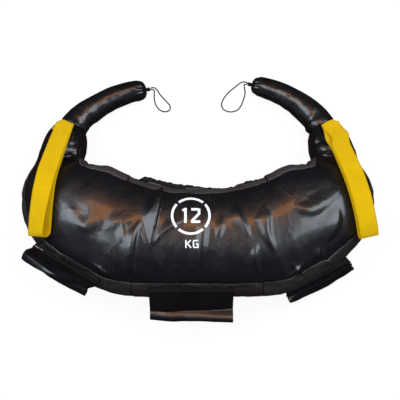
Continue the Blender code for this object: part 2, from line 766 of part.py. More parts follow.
class BentLine:
    """A flat path that a straight strip is bent along: s runs along it, w square to it."""

    def __init__(self, path):
        self.path = np.array(path)
        spans = np.linalg.norm(np.diff(self.path, axis=0), axis=1)
        self.marks = np.concatenate([[0.0], np.cumsum(spans)])
        self.length = self.marks[-1]

    def at(self, s, w):
        """The point at s along the path, and w to the left of it."""
        reach = self.length * HEADING_SHARE
        middle = self.point(s)
        ahead, behind = self.point(s + reach), self.point(s - reach)
        heading = (ahead - behind) / np.linalg.norm(ahead - behind)
        return middle + np.array((-heading[1], heading[0])) * w

    def point(self, s):
        """The point at s, carried on straight past either end."""
        if s < 0:
            heading = (self.path[1] - self.path[0]) / self.marks[1]
            return self.path[0] + heading * s
        if s > self.length:
            heading = (self.path[-1] - self.path[-2]) / (self.marks[-1] - self.marks[-2])
            return self.path[-1] + heading * (s - self.length)
        return np.array([np.interp(s, self.marks, self.path[:, axis]) for axis in (0, 1)])


def loop_profile(line, wall, opening, hem, side_steps):
    """(outline, hole) of a flattened loop lying along a bent line, hinged round (0, wall).

    The two layers are sewn together up to the hem, part towards the far end and meet in its fold.
    """
    fold = wall + opening / 2
    far = line.length - fold

    def parted(s):
        share = min(max((s - hem) / (far - hem), 0), 1)
        return opening * share * (2 - share)

    along = [far * index / side_steps for index in range(side_steps + 1)]
    outline = [(s, 0.0) for s in along]
    for index in range(1, LOOP_END_STEPS):
        turn = math.pi * (index / LOOP_END_STEPS - 0.5)
        outline.append((far + fold * math.cos(turn), fold + fold * math.sin(turn)))
    outline += [(s, 2 * wall + parted(s)) for s in reversed(along)]
    for index in range(1, LOOP_ROOT_STEPS):
        turn = math.pi * (0.5 + index / LOOP_ROOT_STEPS)
        outline.append((wall * math.cos(turn), wall + wall * math.sin(turn)))

    inside = [hem + (far - hem) * index / side_steps for index in range(side_steps + 1)]
    hole = [(s, wall) for s in inside]
    for index in range(1, LOOP_END_STEPS):
        turn = math.pi * (index / LOOP_END_STEPS - 0.5)
        hole.append((far + opening / 2 * math.cos(turn), fold + opening / 2 * math.sin(turn)))
    hole += [(s, wall + parted(s)) for s in reversed(inside[1:])]
    return [[line.at(s, w) for s, w in loop] for loop in (outline, hole)]


def placing(origin, forward):
    """A frame with +X along a level direction and +Z up, at an origin on the floor plane."""
    side = Vector((0, 0, 1)).cross(forward)
    rows = Matrix((forward, side, Vector((0, 0, 1)))).transposed()
    return Matrix.Translation(origin) @ rows.to_4x4()


def surface_cloud():
    """Points of the whole outer skin, for what is draped over it."""
    cloud = []
    for station in steps_between(-CUFF_STATION, CUFF_STATION, STATION_STEP / 4):
        for angle in steps_between(-90, 180, RING_STEP / 3):
            cloud.append(skin_point(station, angle))
    return cloud


def seen_from(cloud, frame, half_width):
    """The cloud's points within a strip, as (forward, up) pairs of the strip's frame."""
    inverse = frame.inverted()
    local = [inverse @ point for point in cloud]
    return np.array([(p.x, p.z) for p in local if abs(p.y) <= half_width])


def loop_hinge(name, frame, point, piece):
    """The hinge of a loop, across its frame at a point of its profile."""
    place = frame @ Vector((point[0], 0, point[1]))
    axis = -(frame.to_3x3() @ Vector((0, 1, 0)))
    return Hinge(name, place, axis, [piece])


def hand_strap(label, cloud):
    """A webbing hand strap lying over the lobe, hinged on the shoulder, and the tab it is sewn to."""
    side, splay, tab_angle = STRAPS[label]
    centre, along = cuff_frame(side)
    outward = Vector((along.y, -along.x, 0)) * side
    splayed = math.radians(splay)
    forward = Vector((side * math.sin(splayed), -math.cos(splayed), 0))
    root = centre - along * STRAP_SETBACK + outward * STRAP_OFFSET
    frame = placing(Vector((root.x, root.y, 0)), forward)
    under = seen_from(cloud, frame, STRAP_WIDTH / 2)
    under = under[under[:, 0] >= -STRAP_SETBACK]
    outline = envelope(under, *DRAPE_ANGLES, WEBBING + STRAP_CLEARANCE)
    path = from_forward(thinned(outline, WEBBING))
    line = BentLine(cut_to_length(path, STRAP_LENGTH))
    loops = loop_profile(line, WEBBING, STRAP_OPENING, STRAP_BAR_TACK, STRAP_SIDE_STEPS)
    strap = extruded_solid(f"hand_strap_{label}", loops, STRAP_WIDTH, frame, "webbing")
    strap_tab(f"strap_tab_{label}", side, tab_angle)
    return loop_hinge(f"strap_{label}_swing", frame, line.at(0, WEBBING), strap)


def strap_tab(name, side, middle_angle):
    """The strap's sewn end: a short tab of webbing on the shoulder, behind the cuff's rim."""
    stations = steps_between(CUFF_STATION - 2 * STATION_STEP, CUFF_STATION, STATION_STEP)
    grids = []
    for lift in (SEAM_GAP + WEBBING, SEAM_GAP):
        rows = []
        for station in stations:
            half = math.degrees(STRAP_WIDTH / 2 / frame_at(station)[4])
            first, last = middle_angle - half, middle_angle + half
            inner = [angle for angle in steps_between(0, 360, RING_STEP) if first < angle < last]
            middle = inner[len(inner) // 2]
            angles = [first, middle - RING_STEP, middle, middle + RING_STEP, last]
            rows.append(skin_row(side * station, angles, -lift))
        grids.append(rows if side > 0 else rows[::-1])
    return sheet_solid(name, *grids, "webbing")


def hand_sleeve(label, cloud, skin):
    """A leather hand sleeve hinged on the outer gusset, and the welt that it is sewn to."""
    station, sewn_angle, hang_angle, length_share, width_share = SLEEVES_SHARES[label]
    length, width = SLEEVE_LENGTH * length_share, SLEEVE_WIDTH * width_share
    step = GUSSET_SEAM_STATION / 2
    along = (skin_point(station + step, 0) - skin_point(station - step, 0)).normalized()
    frame = placing(spine(station)[0], Vector((along.y, -along.x, 0)))
    near = seen_from(cloud, frame, width / 2)
    corner, direction = support(near, sewn_angle)
    root = corner + direction * (SEAM_GAP + WELT_REACH)
    drop = min((root[1] - SLEEVE_FLOOR_GAP) / length, 1)
    hang = min(math.radians(hang_angle), math.asin(drop))
    heading = np.array((math.cos(hang), -math.sin(hang)))
    line = BentLine([root, root + heading * length])
    loops = loop_profile(line, SLEEVE_WALL, SLEEVE_OPENING, SLEEVE_HEM, SLEEVE_SIDE_STEPS)
    sleeve = extruded_solid(f"hand_sleeve_{label}", loops, width, frame, "leather")
    hinge = loop_hinge(f"sleeve_{label}_lift", frame, line.at(0, SLEEVE_WALL), sleeve)
    sleeve_welt(f"sleeve_welt_{label}", frame, hinge.place, width, skin)
    return hinge


def sleeve_welt(name, frame, hinge_point, width, skin):
    """The welt between the curved gusset and the straight root of a hand sleeve."""
    along = frame.to_3x3() @ Vector((0, 1, 0))
    grids = [[], []]
    for offset in steps_between(-width / 2, width / 2, width / WELT_STEPS):
        edge = hinge_point + along * offset
        foot, normal, _, _ = skin.find_nearest(edge)
        inward = foot - edge
        inward = (inward - along * inward.dot(along)).normalized()
        lift = inward.cross(along).normalized() * (SLEEVE_WALL / 2)
        start = edge + inward * (SLEEVE_WALL + SEAM_GAP)
        end = foot - inward * (2 * SEAM_GAP)
        for grid, sign in zip(grids, (1, -1)):
            grid.append([start + lift * sign, end + lift * sign])
    return sheet_solid(name, *grids, "leather")


def skin_tree():
    """The faceted outer skin, for finding the nearest place on it."""
    angles = steps_between(0, 360, RING_STEP)[:-1]
    stations = steps_between(-CUFF_STATION, CUFF_STATION, STATION_STEP)
    mesh_builder = bmesh.new()
    add_grid(mesh_builder, add_points(mesh_builder, [skin_row(s, angles, 0.0) for s in stations]), True)
    tree = BVHTree.FromBMesh(mesh_builder)
    mesh_builder.free()
    return tree


def centre_on_origin():
    """Moves everything so that the origin is under the middle of the box, cords left out."""
    bpy.context.view_layer.update()
    pieces = [o for o in bpy.data.objects if not o.name.startswith("wrist_cord")]
    corners = [o.matrix_world @ v.co for o in pieces for v in o.data.vertices]
    low = [min(c[axis] for c in corners) for axis in (0, 1)]
    high = [max(c[axis] for c in corners) for axis in (0, 1)]
    middle = Vector(((low[0] + high[0]) / 2, (low[1] + high[1]) / 2, 0))
    for made in bpy.data.objects:
        made.matrix_world = Matrix.Translation(-middle) @ made.matrix_world
    return middle


def put_origin(made, place):
    """Moves a piece's origin to a place, and leaves its shape where it is."""
    shift = made.matrix_world.inverted() @ place
    made.data.transform(Matrix.Translation(-shift))
    made.matrix_world = made.matrix_world @ Matrix.Translation(shift)


def settle_hinges(hinges, middle):
    """Puts each moving piece's origin on its hinge, and prints the hinges and the resting face."""
    bpy.context.view_layer.update()
    for hinge in hinges:
        place = hinge.place - middle
        for made in hinge.pieces:
            put_origin(made, place)
        print(hinge.name, [round(v, 5) for v in place], [round(v, 5) for v in hinge.axis])
    print("floor_rest", [round(v, 5) for v in frame_at(0)[0] - middle])


def horn(side, label):
    """A shoulder, the grip that bends from it, and the wrist loop at the grip's tip."""
    shoulder(side, label)
    pieces = [*grip(side, label), tip_knot(side, label), wrist_cord(side, label)]
    return Hinge(f"grip_{label}_bend", cuff_frame(side)[0], Vector((0, 0, 1)), pieces)


def build():
    """Builds every piece of the bag."""
    clear_scene()
    body_panels()
    sand_pouches()
    filling_mouth()
    hinges = [horn(side, label) for side, label in SIDES]
    cloud = surface_cloud()
    hinges += [hand_strap(label, cloud) for label in STRAPS]
    skin = skin_tree()
    hinges += [hand_sleeve(label, cloud, skin) for label in SLEEVES_SHARES]
    settle_hinges(hinges, centre_on_origin())


build()
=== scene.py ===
"""The surface of a sand-filled training bag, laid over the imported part.

Every soft piece is a new mesh made from the part's own curves: an inflated leather skin that is
cut into its panels, ruffled mouth lips, stuffed horns, webbing straps, hand sleeves and cords.
"""

import json
import logging
import math
from dataclasses import dataclass
from enum import Enum

import bmesh
import bpy
import numpy as np
from mathutils import Matrix, Vector
from mathutils.bvhtree import BVHTree

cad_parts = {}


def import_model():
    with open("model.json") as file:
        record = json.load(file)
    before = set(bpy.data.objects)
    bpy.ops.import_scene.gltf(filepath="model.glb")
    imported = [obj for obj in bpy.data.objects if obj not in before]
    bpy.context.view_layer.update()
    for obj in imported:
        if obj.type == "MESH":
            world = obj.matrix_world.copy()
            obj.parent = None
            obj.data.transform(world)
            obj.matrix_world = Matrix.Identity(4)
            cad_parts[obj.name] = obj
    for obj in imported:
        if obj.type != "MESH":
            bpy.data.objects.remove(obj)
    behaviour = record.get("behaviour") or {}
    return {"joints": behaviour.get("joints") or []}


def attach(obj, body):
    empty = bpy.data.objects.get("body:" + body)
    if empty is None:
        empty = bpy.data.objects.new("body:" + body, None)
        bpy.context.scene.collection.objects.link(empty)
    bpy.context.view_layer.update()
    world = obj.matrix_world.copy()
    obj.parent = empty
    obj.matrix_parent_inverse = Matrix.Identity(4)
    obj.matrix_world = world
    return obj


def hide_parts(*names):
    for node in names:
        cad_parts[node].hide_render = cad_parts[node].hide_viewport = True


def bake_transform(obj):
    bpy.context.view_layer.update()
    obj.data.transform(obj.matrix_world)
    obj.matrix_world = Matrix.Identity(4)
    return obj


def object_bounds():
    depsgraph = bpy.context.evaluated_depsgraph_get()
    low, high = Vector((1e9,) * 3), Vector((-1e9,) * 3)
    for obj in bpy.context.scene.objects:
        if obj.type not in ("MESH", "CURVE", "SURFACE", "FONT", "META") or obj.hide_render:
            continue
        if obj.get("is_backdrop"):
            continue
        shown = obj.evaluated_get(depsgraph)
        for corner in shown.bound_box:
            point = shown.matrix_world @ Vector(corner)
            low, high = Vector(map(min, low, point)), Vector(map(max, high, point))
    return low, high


LOG = logging.getLogger("bag")
MM = 0.001

# The part's own dimensions, in metres
SEAM_GAP = 0.3 * MM
LEATHER = 1.8 * MM
BELLY_HALF_DEPTH = 89 * MM
BELLY_HALF_HEIGHT = 75 * MM
LOBE_REACH = 241 * MM
LOBE_RISE = 146 * MM
SETTLE = 4 * MM
SHOULDER_RADIUS = 42 * MM
CUFF_RADIUS = 26.5 * MM
HORN_REACH = 145 * MM
HORN_RISE = 140 * MM
HORN_SETTLE = 1 * MM
GRIP_RADIUS = 19 * MM
CORD_DIAMETER = 2.2 * MM
KNOT_RADIUS = 3.6 * MM
KNOT_LENGTH = 9 * MM
WEBBING = 1.6 * MM
STRAP_WIDTH = 30 * MM
STRAP_LENGTH = 226 * MM
STRAP_OPENING = 15 * MM
STRAP_BAR_TACK = 16 * MM
STRAP_OFFSET = 6 * MM
STRAP_SETBACK = 9 * MM
STRAP_CLEARANCE = 1.2 * MM
SLEEVE_WALL = 1.8 * MM
SLEEVE_WIDTH = 134 * MM
SLEEVE_LENGTH = 72 * MM
SLEEVE_HEM = 9 * MM
SLEEVE_FLOOR_GAP = 6 * MM
TAPE_THICKNESS = 1.2 * MM
TAPE_WIDTH = 7 * MM
FLOOR_REST = Vector((0, -0.08883, 0))
SECTION_POWER = 2.3
# The body at each whole station from its middle: across, along, half depth and half height, as
# shares
BODY_SHARES = (
    (0.000, 0.000, 1.000, 1.000),
    (0.270, 0.014, 1.065, 1.000),
    (0.523, 0.090, 1.200, 1.000),
    (0.730, 0.262, 1.100, 0.980),
    (0.884, 0.402, 0.890, 0.900),
    (0.975, 0.560, 0.640, 0.760),
    (1.000, 0.752, 0.425, 0.480),
    (0.975, 0.985, 0.000, 0.000),
)
# The shoulder's stations: inwards, along and its width over the cuff's, as shares
SHOULDER_SHARES = ((0.036, 0.157, 0.800), (0.077, 0.347, 0.500), (0.135, 0.489, 0.000))
# How far each station's section leans to its side, in degrees
LEANS = (0, 3, 9, 18.5, 30, 44.5, 61.5, 83, 91.5, 103, 118.5)
# The grips' stations: inwards and along, as shares of the horn's reach and rise
GRIP_SPINES_SHARES = {
    "left": (
        (0.219, 0.608), (0.328, 0.709), (0.474, 0.813), (0.635, 0.899), (0.825, 0.966),
        (1.000, 1.000),
    ),
    "right": (
        (0.219, 0.616), (0.328, 0.734), (0.476, 0.855), (0.635, 0.953), (0.814, 1.030),
        (0.965, 1.070),
    ),
}
# Each grip's radius at shares of its length, as shares of the grip's radius
GRIPS_SHARES = {
    "left": ((0.00, 1.30), (0.17, 1.25), (0.40, 1.12), (0.62, 1.05), (0.86, 0.98), (1.00, 0.90)),
    "right": ((0.00, 1.30), (0.17, 1.25), (0.40, 1.13), (0.62, 1.03), (0.86, 0.90), (1.00, 0.78)),
}
BODY_END = 7
CUFF_STATION = 10
TIP_STATION = 16
GUSSET_SEAM_STATION = 1.5
MOUTH_STATION = 2.0
SEAM_ANGLE = 36
GRIP_EASE = 0.17
TIP_BLUNT_SHARE = 0.8
TIP_ANGLES = (0, 35, 62)
# Each hand sleeve's station, the degrees by which it hangs, and its length and width as shares
SLEEVES_SHARES = {
    "left": (-2.80, 66, 0.76, 0.90),
    "middle": (-0.15, 60, 0.96, 1.00),
    "right": (2.60, 89, 0.58, 0.90),
}
# Each hand strap's side, the degrees by which it splays, and its tab's angle round the shoulder
STRAPS = {"left": (-1, 8, 72), "right": (1, 13, 72)}
# The wrist loops' routes from their knots, in metres: along the horn's end, across it, and the
# height over the floor
CORD_ROUTES = {
    "left": (
        (0.0, 0.0017, 0.0161), (0.0036, 0.0019, 0.0154), (0.0075, 0.0016, 0.0115),
        (0.011, -0.002, 0.006), (0.0143, -0.009, 0.0022), (0.019, -0.0165, 0.0013),
        (0.024, -0.025, 0.0013), (0.0276, -0.032, 0.0013), (0.0265, -0.0385, 0.0013),
        (0.0205, -0.0415, 0.0013), (0.0135, -0.04, 0.0013), (0.008, -0.0355, 0.0013),
        (0.0042, -0.0285, 0.0013), (0.0026, -0.0205, 0.0016), (0.0028, -0.013, 0.0045),
        (0.0042, -0.0075, 0.0098), (0.005, -0.0034, 0.014), (0.003, -0.0018, 0.0159),
        (0.0, -0.0017, 0.0161),
    ),
    "right": (
        (0.0, 0.0017, 0.0138), (0.004, 0.0024, 0.0134), (0.0085, 0.0022, 0.0105),
        (0.013, 0.0002, 0.0055), (0.0175, -0.0045, 0.0018), (0.0225, -0.011, 0.0013),
        (0.0278, -0.019, 0.0013), (0.0318, -0.027, 0.0013), (0.0346, -0.036, 0.0013),
        (0.0348, -0.045, 0.0013), (0.0296, -0.052, 0.0013), (0.02, -0.0542, 0.0013),
        (0.0105, -0.0515, 0.0013), (0.0038, -0.0455, 0.0013), (0.0006, -0.0365, 0.0013),
        (-0.0006, -0.027, 0.0013), (-0.001, -0.0185, 0.0016), (0.0002, -0.0115, 0.0046),
        (0.0026, -0.0068, 0.0092), (0.0042, -0.0032, 0.0126), (0.0026, -0.0018, 0.0138),
        (0.0, -0.0017, 0.0138),
    ),
}
CORD_STEPS = 3
SIDES = {"left": -1, "right": 1}
UP = np.array((0, 0, 1.0))

# The camera, as it was found on the photograph
CAMERA_ELEVATION = 78
CAMERA_DISTANCE = 1.55
CAMERA_LENS = 82.5
CAMERA_SENSOR = 36.0
CAMERA_AIM = Vector((0.0042, -0.00883, 0.040))
PHOTO_SIZE = 400


def smooth_through(rows: np.ndarray, places: np.ndarray) -> np.ndarray:
    """Reads a smooth curve through rows of values.

    Args:
        rows: values at the whole places 0, 1, 2 and on, one row each.
        places: where the curve is read, of any shape.

    Returns:
        The values there, with the places' shape and one more axis.
    """
    padded = np.vstack([2 * rows[0] - rows[1], rows, 2 * rows[-1] - rows[-2]])
    places = np.clip(np.asarray(places, float), 0, len(rows) - 1)
    first = np.minimum(places.astype(int), len(rows) - 2)
    share = (places - first)[..., None]
    before, start, end, after = (padded[first + shift] for shift in range(4))
    rise, fall = (end - before) / 2, (after - start) / 2
    square, cube = share**2, share**3
    return (
        (2 * cube - 3 * square + 1) * start
        + (cube - 2 * square + share) * rise
        + (3 * square - 2 * cube) * end
        + (cube - square) * fall
    )


def smooth_step(low: float, high: float, value: np.ndarray) -> np.ndarray:
    """Goes smoothly from 0 at low to 1 at high.

    Args:
        low: where it starts to rise.
        high: where it is at its top.
        value: what is tested.

    Returns:
        Values from 0 to 1.
    """
    share = np.clip((value - low) / (high - low), 0, 1)
    return share * share * (3 - 2 * share)


def unit(vectors: np.ndarray) -> np.ndarray:
    """Scales vectors to length 1.

    Args:
        vectors: an array whose last axis is the vector.

    Returns:
        The same directions at length 1.
    """
    return vectors / np.maximum(np.linalg.norm(vectors, axis=-1, keepdims=True), 1e-12)


def lattice(rng: np.random.Generator, u: np.ndarray, v: np.ndarray, cell: tuple[float, float]) -> np.ndarray:
    """Smooth random heights over a plane.

    Args:
        rng: the random numbers.
        u: first coordinate of each point.
        v: second coordinate of each point.
        cell: the size of a cell along u and v.

    Returns:
        Values from -1 to 1 at the points.
    """
    across, along = (u - u.min()) / cell[0], (v - v.min()) / cell[1]
    heights = rng.uniform(-1, 1, (int(across.max()) + 2, int(along.max()) + 2))
    i, j = across.astype(int), along.astype(int)
    s, t = (np.clip(x - x.astype(int), 0, 1) for x in (across, along))
    s, t = s * s * (3 - 2 * s), t * t * (3 - 2 * t)
    near = heights[i, j] * (1 - t) + heights[i, j + 1] * t
    far = heights[i + 1, j] * (1 - t) + heights[i + 1, j + 1] * t
    return near * (1 - s) + far * s


class Socket:
    """A shader value that can be added, multiplied and so on.

    Args:
        graph: the material's nodes.
        socket: the output that gives the value.
    """

    def __init__(self, graph: "Graph", socket: bpy.types.NodeSocket) -> None:
        """Keeps the output and the graph that new nodes go into."""
        self.graph = graph
        self.socket = socket

    def __add__(self, other: "Socket | float") -> "Socket":
        """This value plus another."""
        return self.graph.math("ADD", self, other)

    def __radd__(self, other: float) -> "Socket":
        """A number plus this value."""
        return self.graph.math("ADD", other, self)

    def __sub__(self, other: "Socket | float") -> "Socket":
        """This value less another."""
        return self.graph.math("SUBTRACT", self, other)

    def __rsub__(self, other: float) -> "Socket":
        """A number less this value."""
        return self.graph.math("SUBTRACT", other, self)

    def __mul__(self, other: "Socket | float") -> "Socket":
        """This value times another."""
        return self.graph.math("MULTIPLY", self, other)

    def __rmul__(self, other: float) -> "Socket":
        """A number times this value."""
        return self.graph.math("MULTIPLY", other, self)

    def __truediv__(self, other: "Socket | float") -> "Socket":
        """This value divided by another."""
        return self.graph.math("DIVIDE", self, other)

    def __pow__(self, other: float) -> "Socket":
        """This value to a power."""
        return self.graph.math("POWER", self, other)

    def least(self, other: "Socket | float") -> "Socket":
        """The smaller of the two."""
        return self.graph.math("MINIMUM", self, other)

    def most(self, other: "Socket | float") -> "Socket":
        """The larger of the two."""
        return self.graph.math("MAXIMUM", self, other)

    def size(self) -> "Socket":
        """The value without its sign."""
        return self.graph.math("ABSOLUTE", self)

    def ramp(self, low: float, high: float) -> "Socket":
        """A value that goes smoothly from 0 at low to 1 at high.

        Args:
            low: where it starts to rise.
            high: where it is at its top.

        Returns:
            The value as a Socket.
        """
        return self.graph.node(
            "ShaderNodeMapRange", "Result", {"interpolation_type": "SMOOTHSTEP"},
            {"Value": self, "From Min": low, "From Max": high},
        )


class Graph:
    """A material's nodes, made with few words.

    Args:
        name: the material's name.
    """

    def __init__(self, name: str) -> None:
        """Makes the material with its shader."""
        self.material = bpy.data.materials.new(name)
        self.material.use_nodes = True
        self.tree = self.material.node_tree
        self.shader = self.tree.nodes["Principled BSDF"]

    def node(self, kind: str, output: str | int, settings: dict, inputs: dict) -> Socket:
        """Makes any node.

        Args:
            kind: the node's type name.
            output: the socket that is given back.
            settings: the node's own properties.
            inputs: its inputs, by name or place, each a value or a Socket.

        Returns:
            The output as a Socket.
        """
        made = self.tree.nodes.new(kind)
        for key, value in settings.items():
            setattr(made, key, value)
        for key, value in inputs.items():
            self.feed(made.inputs[key], value)
        return Socket(self, made.outputs[output])

    def feed(self, target: bpy.types.NodeSocket, value: object) -> None:
        """Links a Socket to an input, or sets the input's value.

        Args:
            target: the input.
            value: a Socket or a plain value.
        """
        if isinstance(value, Socket):
            self.tree.links.new(value.socket, target)
        else:
            target.default_value = value

    def math(self, operation: str, *values: object) -> Socket:
        """A math node on the values."""
        return self.node("ShaderNodeMath", 0, {"operation": operation}, dict(enumerate(values)))

    def mix(self, share: Socket | float, first: object, second: object) -> Socket:
        """A colour from first to second, by share."""
        return self.node(
            "ShaderNodeMix", 2, {"data_type": "RGBA"}, {0: share, 6: first, 7: second}
        )

    def coordinates(self, source: str, scale: tuple[float, float, float] = (1, 1, 1)) -> Socket:
        """Object coordinates or the piece's own UV map, scaled.

        Args:
            source: "UV" or "Object".
            scale: the scale along each axis.

        Returns:
            The coordinates as a Socket.
        """
        if source == "UV":
            place = self.node("ShaderNodeUVMap", 0, {"uv_map": "metres"}, {})
        else:
            place = self.node("ShaderNodeTexCoord", "Object", {}, {})
        return self.node("ShaderNodeMapping", 0, {}, {"Vector": place, "Scale": scale})

    def part_of(self, vector: Socket, axis: str) -> Socket:
        """One coordinate of a vector."""
        return self.node("ShaderNodeSeparateXYZ", axis, {}, {0: vector})

    def noise(self, place: Socket, scale: float, detail: float = 2.0, roughness: float = 0.5) -> Socket:
        """Noise from 0 to 1."""
        return self.node(
            "ShaderNodeTexNoise", 0, {},
            {"Vector": place, "Scale": scale, "Detail": detail, "Roughness": roughness},
        )

    def cells(self, place: Socket, scale: float, feature: str = "DISTANCE_TO_EDGE") -> Socket:
        """A cell pattern's distance."""
        return self.node(
            "ShaderNodeTexVoronoi", "Distance", {"feature": feature}, {"Vector": place, "Scale": scale}
        )

    def bump(
        self, height: Socket, distance: float, strength: float = 1.0, under: Socket | None = None
    ) -> Socket:
        """A normal from a height, on top of another normal if one is given.

        Args:
            height: the height, from 0 to 1.
            distance: how high 1 is, in metres.
            strength: how much of it is used.
            under: the normal that it lies on.

        Returns:
            The normal as a Socket.
        """
        inputs = {"Height": height, "Distance": distance, "Strength": strength}
        if under:
            inputs["Normal"] = under
        return self.node("ShaderNodeBump", 0, {}, inputs)

    def finish(self, **inputs: object) -> bpy.types.Material:
        """Feeds the shader's inputs.

        Args:
            inputs: their values or Sockets, by name, with _ for a space.

        Returns:
            The material.
        """
        for key, value in inputs.items():
            self.feed(self.shader.inputs[key.replace("_", " ")], value)
        return self.material


@dataclass(frozen=True)
class LeatherFinish:
    """Imitation leather, glossy or matt.

    Args:
        name: the material's name.
        colour: its dark colour. The light one is half as bright again.
        roughness: the least roughness.
        coat: the weight of the gloss coat.
        crumple: how strong its dents and creases are.
        gloss: its specular level.
        printed: whether it carries the print.
    """

    name: str
    colour: tuple[float, float, float] = (0.0030, 0.0030, 0.0040)
    roughness: float = 0.33
    coat: float = 0.35
    crumple: float = 0.35
    gloss: float = 0.5
    printed: bool = False

    def build(self) -> bpy.types.Material:
        """Makes the material.

        Returns:
            The material, with the print on it if it has one.
        """
        graph = Graph(self.name)
        place = graph.coordinates("Object")
        grain = graph.cells(place, 900.0, "F1")
        broad = graph.noise(place, 26.0, 3.0, 0.55)
        fine = graph.noise(place, 70.0, 3.0, 0.6)
        creases = graph.cells(graph.coordinates("Object", (1.0, 0.55, 1.0)), 42.0)
        lines = (1 - creases.ramp(0.0, 0.11)) * broad.ramp(0.42, 0.62)
        normal = graph.bump(fine, 0.0008, 0.5 * self.crumple)
        normal = graph.bump(broad, 0.003, 0.5 * self.crumple, normal)
        normal = graph.bump(lines, 0.0006, self.crumple, normal)
        normal = graph.bump(grain, 0.00008, 0.25, normal)
        colour = graph.mix(broad.ramp(0.3, 0.7), (*self.colour, 1), (*(c * 1.5 for c in self.colour), 1))
        roughness = self.roughness + 0.10 * graph.noise(place, 55.0).ramp(0.35, 0.75)
        coat = self.coat
        if self.printed:
            ink = Print().mask(graph)
            colour = graph.mix(ink, colour, (0.62, 0.64, 0.67, 1))
            roughness = roughness + 0.22 * ink
            coat = self.coat * (1 - 0.7 * ink)
        return graph.finish(
            Base_Color=colour, Roughness=roughness, Normal=normal, Coat_Weight=coat,
            Coat_Roughness=0.12, Specular_IOR_Level=self.gloss,
        )


@dataclass(frozen=True)
class Print:
    """The silver-white print: a broken ring with a number in it, and a unit under it.

    Args:
        centre: the ring's centre, in metres.
        ring: the radius of the ring's middle line, in metres.
        band: half the ring's width, in metres.
        gap: how far each break reaches to either side, in millimetres.
    """

    centre: tuple[float, float] = (-0.0102, -0.0552)
    ring: float = 0.0294
    band: float = 0.0021
    gap: float = 3.2

    def mask(self, graph: Graph) -> Socket:
        """Where the ink is.

        Args:
            graph: the material's nodes.

        Returns:
            1 on the ink and 0 off it.
        """
        place = graph.coordinates("Object")
        x = (graph.part_of(place, "X") - self.centre[0]) * 1000
        y = (graph.part_of(place, "Y") - self.centre[1]) * 1000
        radius = (x * x + y * y) ** 0.5
        ring = self.band * 1000 - (radius - self.ring * 1000).size()
        gaps = (x.size().most(y.size()) - x.size().least(y.size())).size() - self.gap
        ink = ring.least(gaps)
        for stroke in GLYPHS:
            ink = ink.most(self.stroke(x, y, stroke))
        worn = graph.noise(place, 260.0, 2.0) * 0.5
        return (ink - worn + 0.15).ramp(-0.12, 0.12)

    @staticmethod
    def stroke(x: Socket, y: Socket, stroke: tuple[float, ...]) -> Socket:
        """How far inside a straight stroke each point is.

        Args:
            x: distance to the right of the ring's centre, in millimetres.
            y: distance up from it.
            stroke: the stroke's two ends and half its width.

        Returns:
            The distance in millimetres, negative outside.
        """
        x0, y0, x1, y1, half = stroke
        long = math.hypot(x1 - x0, y1 - y0)
        ux, uy = (x1 - x0) / long, (y1 - y0) / long
        middle = ((x0 + x1) / 2, (y0 + y1) / 2)
        dx, dy = x - middle[0], y - middle[1]
        along = (dx * ux + dy * uy).size()
        across = (dy * ux - dx * uy).size()
        return (long / 2 - along).least(half - across)


# Straight strokes of the number and of the unit, in millimetres from the ring's centre: two ends
# and half the width
GLYPHS = (
    (-8.5, -12.5, -8.5, 12.5, 2.2), (-13.5, 8.0, -7.5, 11.6, 1.9),
    (0.5, 10.3, 13.0, 10.3, 2.2), (12.8, 11.5, 12.8, 2.0, 2.2), (13.5, 3.6, 1.5, -9.5, 2.2),
    (0.2, -10.3, 15.0, -10.3, 2.2),
    (-7.6, -52.0, -7.6, -39.4, 1.2), (-7.2, -46.6, 0.0, -39.6, 1.2), (-5.2, -45.2, 0.6, -51.8, 1.2),
    (4.2, -50.6, 4.2, -40.8, 1.2), (3.8, -40.4, 11.6, -40.4, 1.15), (3.8, -51.0, 11.6, -51.0, 1.15),
    (11.2, -51.8, 11.2, -45.4, 1.2), (8.0, -46.0, 12.0, -46.0, 1.1),
)


@dataclass(frozen=True)
class ClothFinish:
    """A woven or matt finish: webbing, cord, tape, canvas or wadding.

    Args:
        name: the material's name.
        colour: its light colour.
        hollow_shade: its dark colour, painted into the weave's hollows as shade.
        roughness: its roughness.
        pitch: the spacing of the weave both ways, in metres.
        depth: the height of the weave, in metres.
        source: the coordinates that the weave follows, "UV" or "Object".
    """

    name: str
    colour: tuple[float, float, float]
    hollow_shade: tuple[float, float, float]
    roughness: float
    pitch: tuple[float, float]
    depth: float
    source: str = "UV"

    def build(self) -> bpy.types.Material:
        """Makes the material.

        Returns:
            The material.
        """
        graph = Graph(self.name)
        place = graph.coordinates(self.source)
        u, v = graph.part_of(place, "X"), graph.part_of(place, "Y")
        over = graph.math("SINE", u * (2 * math.pi / self.pitch[0]))
        across = graph.math("SINE", v * (2 * math.pi / self.pitch[1]))
        weave = (over * across) * 0.5 + 0.5
        fuzz = graph.noise(place, 900.0, 2.0)
        broad = graph.noise(graph.coordinates("Object"), 30.0, 2.0)
        height = weave * 0.8 + fuzz * 0.4
        # Darker where the weave and its fuzz are low: painted shade in the hollows, with random tone from
        # the broad noise on top
        weave_shade_and_tone = (weave * 0.45 + fuzz * 0.3 + broad * 0.25).ramp(0.15, 0.75)
        colour = graph.mix(weave_shade_and_tone, (*self.hollow_shade, 1), (*self.colour, 1))
        return graph.finish(
            Base_Color=colour, Roughness=self.roughness, Specular_IOR_Level=0.08,
            Normal=graph.bump(height, self.depth, 0.6),
        )


